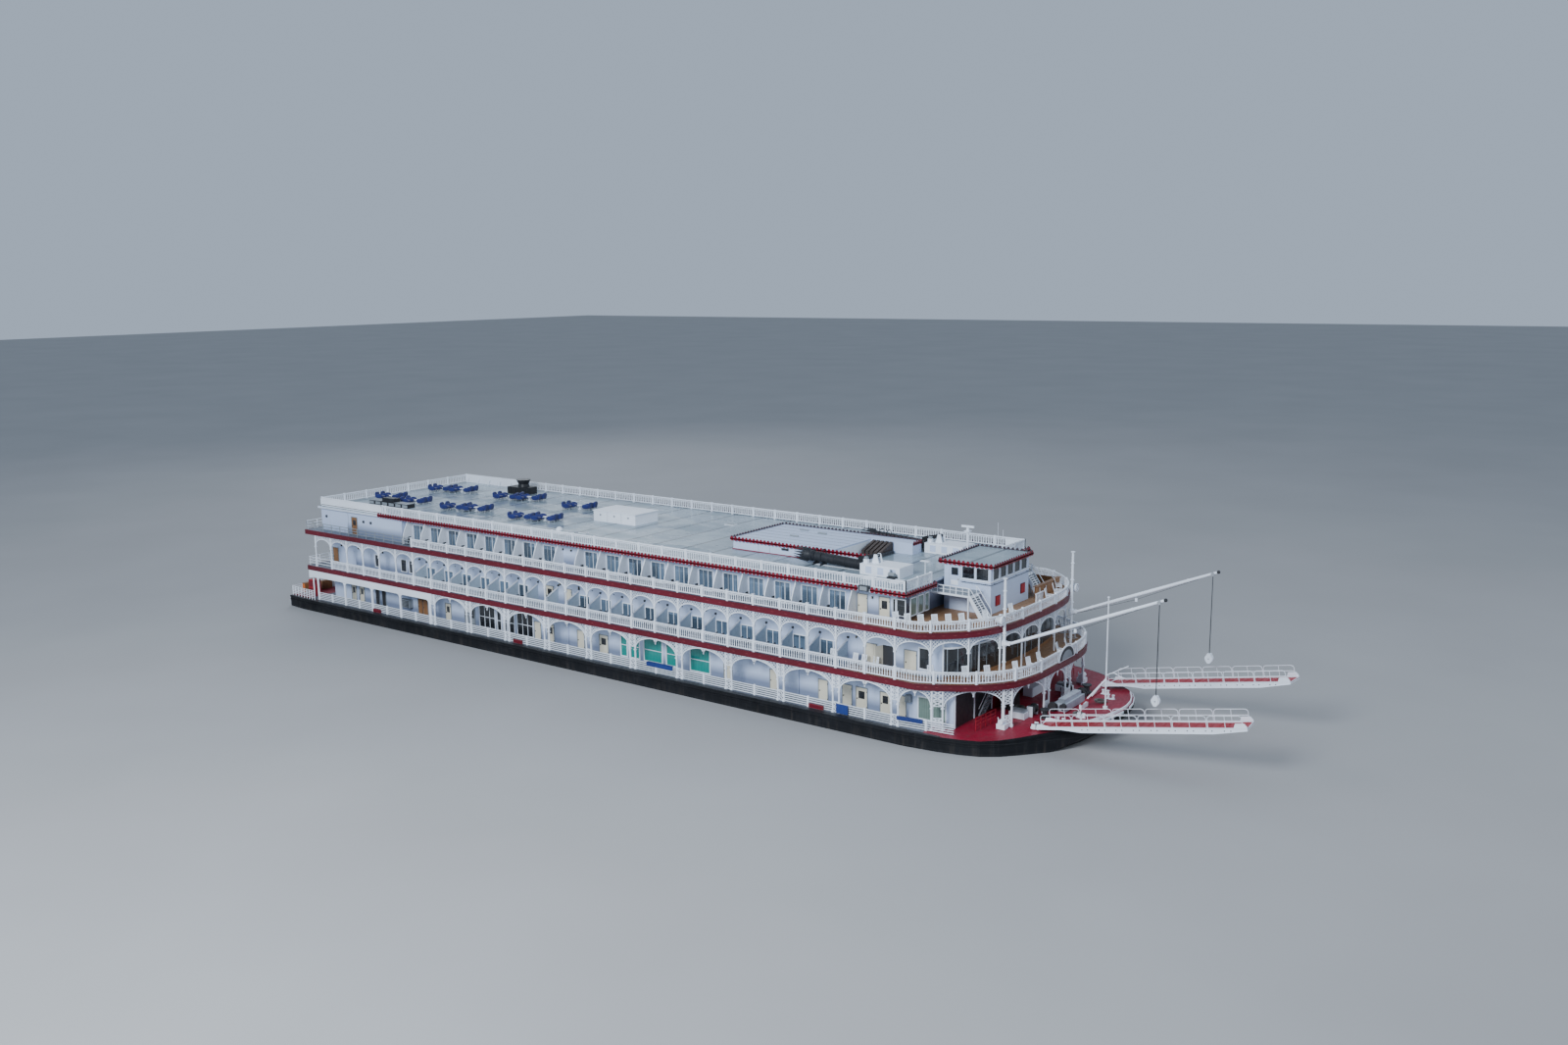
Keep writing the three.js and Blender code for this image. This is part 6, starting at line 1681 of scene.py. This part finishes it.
# ------------------------------------------------------------------ landing stages
for side, e in SIDES:
    k = Kit()
    L, w = 1.69, 0.098
    rise, yw = (0.165 if e < 0 else 0.2018), 0.0755
    m = Matrix.Translation((4.44, e * 0.69, 0.402)) @ Matrix.Rotation(-e * yw, 4, "Z") @ Matrix.Rotation(-rise, 4, "Y")
    g = Kit()
    under = [(0.05, -0.010), (0.26, -0.012), (0.42, -0.034), (L - 0.25, -0.034), (L, -0.010)]
    for s in (-1, 1):
        y = s * (w - 0.003)
        g.cell([(a, y - 0.0025, b) for a, b in under + [(L, 0.010), (0.05, 0.010)]], (0, 0.005, 0), "trim_white")
        # flanges
        for (xa, za), (xb, zb) in zip(under[:-1], under[1:]):
            g.beam((xa, y, za), (xb, y, zb), 0.003, 0.013, "trim_white", (0, 1, 0))
        g.beam((0.05, y, 0.0095), (L, y, 0.0095), 0.003, 0.013, "trim_white", (0, 1, 0))
        # pairs of small holes in the web, drawn as dark discs: painted shade standing in for the dim inside of each
        # hole
        for q in range(9):
            x = 0.45 + q * 0.137
            for dx in (-0.0235, 0.0235):
                g.rod((x + dx, y - 0.0032, -0.012), (x + dx, y + 0.0032, -0.012), 0.0045, "dark_grey", 10)
        # pipe rail: hoops with rounded top corners, a post in the middle of each
        top, mid1 = 0.101, 0.055
        for q in range(6):
            a, b = 0.095 + q * 0.262, 0.095 + q * 0.262 + 0.253
            g.path([(a, y, 0.008), (a, y, top - 0.022), (a + 0.006, y, top - 0.007), (a + 0.022, y, top), (b - 0.022, y, top), (b - 0.006, y, top - 0.007), (b, y, top - 0.022), (b, y, 0.008)], 0.0025, "trim_white", 7)
            g.rod(((a + b) / 2, y, 0.008), ((a + b) / 2, y, top), 0.0021, "trim_white", 7)
            g.rod((a, y, mid1), (b, y, mid1), 0.0028, "trim_white", 6)
        # end plates
        g.cell([(L - 0.10, y - 0.004, 0.008), (L - 0.002, y - 0.004, 0.008), (L - 0.002, y - 0.004, 0.020), (L - 0.02, y - 0.004, 0.044), (L - 0.085, y - 0.004, 0.044)], (0, 0.008, 0), "trim_white")
        g.cell([(0.045, y - 0.004, -0.008), (0.16, y - 0.004, -0.010), (0.16, y - 0.004, 0.012), (0.09, y - 0.004, 0.030), (0.06, y - 0.004, 0.030)], (0, 0.008, 0), "trim_white")
    g.box(L - 0.005, L, -w, w, -0.010, 0.006, "trim_white")
    # floor of red boards with cleats, cross beams below
    for q in range(8):
        y0 = -w + 0.006 + q * (2 * w - 0.012) / 8
        g.box(0.05, L, y0, y0 + (2 * w - 0.012) / 8 - 0.0012, -0.004, 0.0018, "bright_red")
    for q in range(27):
        x = 0.09 + q * 0.06
        g.box(x - 0.003, x + 0.003, -w + 0.010, w - 0.010, 0.0018, 0.0042, "bright_red")
    for q in range(9):
        x = 0.12 + q * 0.17
        g.box(x - 0.004, x + 0.004, -w + 0.005, w - 0.005, -0.014, -0.004, "trim_white")
    # hinge block and pin
    g.box(-0.006, 0.056, -0.018, 0.018, -0.006, 0.006, "steel")
    g.rod((0, -0.029, 0), (0, 0.029, 0), 0.007, "steel", 16)
    g.box(0.052, 0.062, -w + 0.004, w - 0.004, -0.018, 0.004, "trim_white")
    k.add(g, m)
    k.make(f"stage_walkway_{side}", body=f"stage_{side}", replaces=(f"stage_{side}",))

# ------------------------------------------------------------------ foredeck: rails, bitts, ropes, boxes
k = Kit()
# white coaming round the nose, and bitts
nose = [(x, y) for x, y in BOW if x > 4.76]
edge_pts = [(x - 0.014, -y + 0.012) for x, y in nose] + [(x - 0.014, y - 0.012) for x, y in reversed(nose)]
for a, b in zip(edge_pts[:-1], edge_pts[1:]):
    za, zb = sheer(a[0]) + 0.001, sheer(b[0]) + 0.001
    k.beam((a[0], a[1], za + 0.010), (b[0], b[1], zb + 0.010), 0.022, 0.008, "trim_white", Vector((-(b[1] - a[1]), b[0] - a[0], 0)))
for x, y in ((4.55, 0.45), (4.66, 0.30)):
    for e in (-1, 1):
        z = sheer(x) + 0.001
        for dx in (-0.022, 0.022):
            k.lathe([(0.013, 0), (0.011, 0.004), (0.010, 0.030), (0.013, 0.034), (0.013, 0.040), (0.0, 0.042)], (x + dx, e * y, z), "trim_white", 14)
        k.box(x - 0.040, x + 0.040, e * y - 0.015, e * y + 0.015, z, z + 0.005, "trim_white")
k.make("foredeck_bitts")

k = Kit()
for e in (-1, 1):
    # red pipe rails at the sides of the covered foredeck
    a, b = Vector((bx(27) + 0.042, e * 1.184, 0)), Vector((3.946, e * 1.132, 0))
    nn = Vector((0.11, e, 0))
    for q in range(5):
        z = Vector((0, 0, Z_MAIN + 0.011 + q * 0.01875))
        k.beam(a + z, b + z, 0.0068, 0.004, "trim_white", nn)
    c = (a + b) / 2
    k.box(c.x - 0.009, c.x + 0.009, c.y - 0.007, c.y + 0.007, Z_MAIN + 0.0012, 0.434, "trim_white")
    for z in (0.385, 0.415, 0.445):
        k.rod((4.035, e * 0.93, z), (4.060, e * 0.64, z), 0.0028, "bright_red", 6)
    for q in range(5):
        t = q / 4
        k.rod((4.035 + 0.025 * t, e * (0.93 - 0.29 * t), sheer(4.06) + 0.001), (4.035 + 0.025 * t, e * (0.93 - 0.29 * t), 0.447), 0.003, "bright_red", 6)
k.make("foredeck_rails")

# stair from the foredeck up to the second deck, starboard
k = Kit()
for q in range(11):
    t = q / 10
    k.box(3.885 + 0.13 * t, 3.90 + 0.13 * t, -0.60, -0.50, 0.35 + 0.31 * t, 0.354 + 0.31 * t, "mid_grey")
for y in (-0.603, -0.497):
    k.beam((3.885, y, 0.345), (4.03, y, 0.675), 0.012, 0.005, "mid_grey", (0, 1, 0))
    k.beam((3.885, y, 0.405), (4.01, y, 0.690), 0.004, 0.004, "trim_white", (0, 1, 0))
k.make("foredeck_stair")

# machinery, drums, boxes, coils of rope
k = Kit()
z = 0.353
for e in (-1, 1):
    k.box(4.10, 4.24, e * 0.44 - 0.04, e * 0.44 + 0.04, sheer(4.24) + 0.001, 0.395, "trim_white")
    k.box(4.11, 4.23, e * 0.44 - 0.03, e * 0.44 + 0.03, 0.395, 0.415, "mid_grey")
    k.lathe([(0.030, -0.04), (0.040, -0.038), (0.040, -0.032), (0.026, -0.030), (0.026, 0.030), (0.040, 0.032), (0.040, 0.038), (0.030, 0.04)], (4.24, e * 0.33, 0.400), "dark_grey", 20, (0, 1, 0))
    k.box(4.215, 4.265, e * 0.33 - 0.055, e * 0.33 - 0.045, sheer(4.24) + 0.001, 0.43, "trim_white")
    k.box(4.215, 4.265, e * 0.33 + 0.045, e * 0.33 + 0.055, sheer(4.24) + 0.001, 0.43, "trim_white")
k.box(3.93, 4.02, -0.30, -0.12, Z_MAIN + 0.001, 0.44, "dark_grey")
k.box(3.93, 4.02, 0.12, 0.40, Z_MAIN + 0.001, 0.42, "trim_white")
# big cable reel to port and a drum to starboard of the winch house, a small winch by the near mast
k.lathe([(0.0001, -0.016), (0.045, -0.016), (0.045, -0.011), (0.030, -0.009), (0.030, 0.009), (0.045, 0.011), (0.045, 0.016), (0.0001, 0.016)], (4.432, 0.215, 0.430), "dark_grey", 24, (0, 1, 0))
k.box(4.415, 4.449, 0.212, 0.218, 0.372, 0.400, "mid_grey")
k.lathe([(0.0001, -0.016), (0.038, -0.016), (0.038, -0.011), (0.026, -0.009), (0.026, 0.009), (0.038, 0.011), (0.038, 0.016), (0.0001, 0.016)], (4.370, -0.222, 0.414), "dark_grey", 24, (0, 1, 0))
for e in (-1, 1):
    k.sbox(e, 4.150, 4.225, 0.735, 0.800, Z_MAIN + 0.005, 0.385, "trim_white")
    k.rod((4.190, e * 0.725, 0.405), (4.190, e * 0.810, 0.405), 0.022, "trim_white", 14)
    k.rod((4.160, e * 0.77, 0.385), (4.150, e * 0.77, 0.430), 0.004, "trim_white", 6)
# winch house dress: drums and levers
for e in (-1, 1):
    k.lathe([(0.0001, -0.02), (0.026, -0.02), (0.026, -0.016), (0.017, -0.014), (0.017, 0.014), (0.026, 0.016), (0.026, 0.02), (0.0001, 0.02)], (4.46, e * 0.215, 0.425), "dark_grey", 20, (0, 1, 0))
    k.rod((4.42, e * 0.12, 0.455), (4.40, e * 0.12, 0.49), 0.002, "steel", 6)
    k.rod((4.42, e * 0.06, 0.455), (4.40, e * 0.06, 0.49), 0.002, "steel", 6)
k.make("foredeck_machines")

k = Kit()


def coil(cx, cy, z, r0, turns, rope=0.0042):
    """one continuous line laid down in layers of three turns, inwards and then outwards again"""
    pts = []
    for i in range(turns * 24 + 1):
        t = i / 24
        layer, u = int(t // 3), t % 3
        rr = r0 - (3 - u if layer % 2 else u) * rope * 2.1
        zz = z + rope + (layer - 1 + min(1, u / 0.35) if layer else 0) * rope * 1.9
        pts.append((cx + rr * math.cos(2 * math.pi * t), cy + rr * 0.85 * math.sin(2 * math.pi * t), zz))
    k.path(pts, rope, "rope", 6)


coil(4.62, 0.18, sheer(4.66) + 0.004, 0.055, 6)
coil(4.60, -0.22, sheer(4.64) + 0.004, 0.05, 5)
coil(4.06, -0.20, Z_MAIN + 0.001, 0.05, 6)
k.make("rope_coils")

# jackstaff fittings
k = Kit()
jx = 4.738
k.lathe([(0.0001, -0.006), (0.010, -0.003), (0.010, 0.003), (0.0001, 0.008)], (jx, 0, 1.352 + 0.0), "trim_white", 14)
for s in (-1, 1):
    top_, low_, mid_ = Vector((jx, 0, 0.660)), Vector((jx - 0.19, s * 0.060, 0.412)), Vector((jx - 0.139, s * 0.044, 0.478))
    k.beam(top_, mid_, 0.0115, 0.0115, "trim_white", (0, 1, 0))
    k.beam(mid_, low_, 0.0120, 0.0120, "crest_red", (0, 1, 0))
for a, b in (((jx, 0, 1.30), (4.36, 0, 1.135)),):
    k.rod(a, b, 0.0012, "wire", 5)
k.make("jackstaff_trim")

# ------------------------------------------------------------------ chairs on the bow decks, balcony furniture
k = Kit()


def rocker(x, y, z, rot, mat="trim_white"):
    """high-backed rocking chair"""
    c, s = math.cos(rot), math.sin(rot)

    def pt(a, b, h):
        return Vector((x + a * c - b * s, y + a * s + b * c, z + h))
    for b in (-0.024, 0.024):
        k.path([pt(-0.045, b, 0.010), pt(-0.02, b, 0.003), pt(0.01, b, 0.002), pt(0.04, b, 0.008)], 0.0024, mat, 5)
        k.rod(pt(-0.022, b, 0.003), pt(-0.026, b, 0.042), 0.0026, mat, 5)
        k.rod(pt(0.022, b, 0.003), pt(0.022, b, 0.062), 0.0026, mat, 5)
        k.rod(pt(-0.026, b, 0.042), pt(-0.045, b, 0.118), 0.0028, mat, 5)
        k.rod(pt(-0.032, b, 0.063), pt(0.026, b, 0.063), 0.0030, mat, 5)
    q = [pt(-0.026, -0.026, 0.040), pt(0.026, -0.026, 0.042), pt(0.026, 0.026, 0.042), pt(-0.026, 0.026, 0.040)]
    k.cell(q, (0, 0, 0.004), mat)
    for i in range(5):
        b = -0.019 + i * 0.0095
        k.beam(pt(-0.027, b, 0.046), pt(-0.043, b, 0.108), 0.006, 0.002, mat, Vector((c, s, 0)))
    k.beam(pt(-0.044, -0.026, 0.112), pt(-0.044, 0.026, 0.112), 0.012, 0.004, mat, Vector((c, s, 0)))


line = resample(bow_line(front3, 0.075, bx(27) - 0.25), 30)
for i in (2, 3, 4, 5, 6, 7, 9, 12, 18, 20, 22, 23, 25, 26, 28):
    x, y = line[i]
    rocker(x, y, Z_3 + 0.001, math.atan2(y * 0.75, 1.0))
line = resample(bow_line(front2, 0.080, bx(27)), 34)
for i in (3, 6, 8, 10, 11, 13, 15, 19, 21, 24, 26, 28, 31):
    x, y = line[i]
    if abs(abs(y) - 0.64) > 0.07:
        rocker(x, y, Z_2 + 0.001, math.atan2(y * 0.9, 1.0))
for e in (-1, 1):
    for b in (24.6, 25.4, 25.7, 26.1):
        rocker(bx(b), e * 1.10, Z_2 + 0.001, e * math.pi / 2)
k.make("rocking_chairs")

k = Kit()
for side, e in SIDES:
    for i in range(5, 25):
        if i == 13:
            continue
        # a low table and two dark chairs on each balcony
        for dx in (0.30, 0.62):
            x = bx(i + dx)
            k.sbox(e, x - 0.022, x + 0.022, 1.09, 1.13, Z_3 + 0.038, Z_3 + 0.043, "dark_grey")
            k.sbox(e, x - 0.022, x - 0.018, 1.09, 1.13, Z_3 + 0.043, Z_3 + 0.088, "dark_grey")
            for a in (-0.020, 0.018):
                for b in (1.092, 1.126):
                    k.sbox(e, x + a, x + a + 0.003, b, b + 0.003, Z_3 + 0.001, Z_3 + 0.038, "dark_grey")
            k.sbox(e, x - 0.022, x + 0.022, 1.088, 1.091, Z_3 + 0.062, Z_3 + 0.065, "dark_grey")
            k.sbox(e, x - 0.022, x + 0.022, 1.129, 1.132, Z_3 + 0.062, Z_3 + 0.065, "dark_grey")
        k.lathe([(0.018, 0), (0.003, 0.004), (0.003, 0.045), (0.020, 0.046), (0.020, 0.049), (0.0001, 0.049)], (bx(i + 0.46), e * 1.11, Z_3 + 0.001), "dark_grey", 10)
    for i in [j for j in range(6, 25) if j not in (12, 13)]:
        for dx in (0.35, 0.6):
            x = bx(i + dx)
            k.sbox(e, x - 0.020, x + 0.020, 1.08, 1.12, Z_2 + 0.038, Z_2 + 0.043, "dark_grey")
            k.sbox(e, x - 0.020, x - 0.016, 1.08, 1.12, Z_2 + 0.043, Z_2 + 0.085, "dark_grey")
            for a in (-0.018, 0.016):
                for b in (1.082, 1.116):
                    k.sbox(e, x + a, x + a + 0.003, b, b + 0.003, Z_2 + 0.001, Z_2 + 0.038, "dark_grey")
k.make("balcony_furniture")

# bow terrace of the third deck: wooden screen and bar on the port side, small white gate
k = Kit()
k.box(3.88, 3.90, 0.40, 0.86, Z_3 + 0.001, 1.25, "door_wood")
for q in range(16):
    y = 0.40 + q * 0.0295
    k.box(3.900, 3.903, y, y + 0.022, Z_3 + 0.004, 1.246, "deck_wood")
k.box(3.60, 3.90, 0.86, 0.872, Z_3 + 0.001, 1.25, "door_wood")
k.box(3.87, 3.91, 0.39, 0.88, 1.25, 1.256, "door_wood")
k.box(3.60, 3.64, 0.62, 0.86, Z_3 + 0.001, 1.24, "door_wood")
for q in range(6):
    k.box(3.99, 3.996, 0.20 + q * 0.025, 0.208 + q * 0.025, Z_3 + 0.001, 1.235, "trim_white")
k.box(3.988, 3.998, 0.195, 0.345, 1.235, 1.242, "trim_white")
k.make("terrace_wood")

# bare half-round board on the front rail of the second deck
k = Kit()
xb = front2(0) - 0.002
n = 28
for y0 in (0.12,):
    pts = [(xb, y0 + 0.155 * math.cos(math.pi * q / n), 0.735 + 0.122 * math.sin(math.pi * q / n)) for q in range(n + 1)]
    k.cell(pts, (0.007, 0, 0), "trim_white")
    pts = [(xb + 0.007, y0 + 0.138 * math.cos(math.pi * q / n), 0.741 + 0.103 * math.sin(math.pi * q / n)) for q in range(n + 1)]
    k.cell(pts, (0.0012, 0, 0), "dark_grey")
    pts = [(xb + 0.0082, y0 + 0.098 * math.cos(math.pi * q / n), 0.745 + 0.070 * math.sin(math.pi * q / n)) for q in range(n + 1)]
    k.cell(pts, (0.0012, 0, 0), "mid_grey")
k.make("bow_boards")
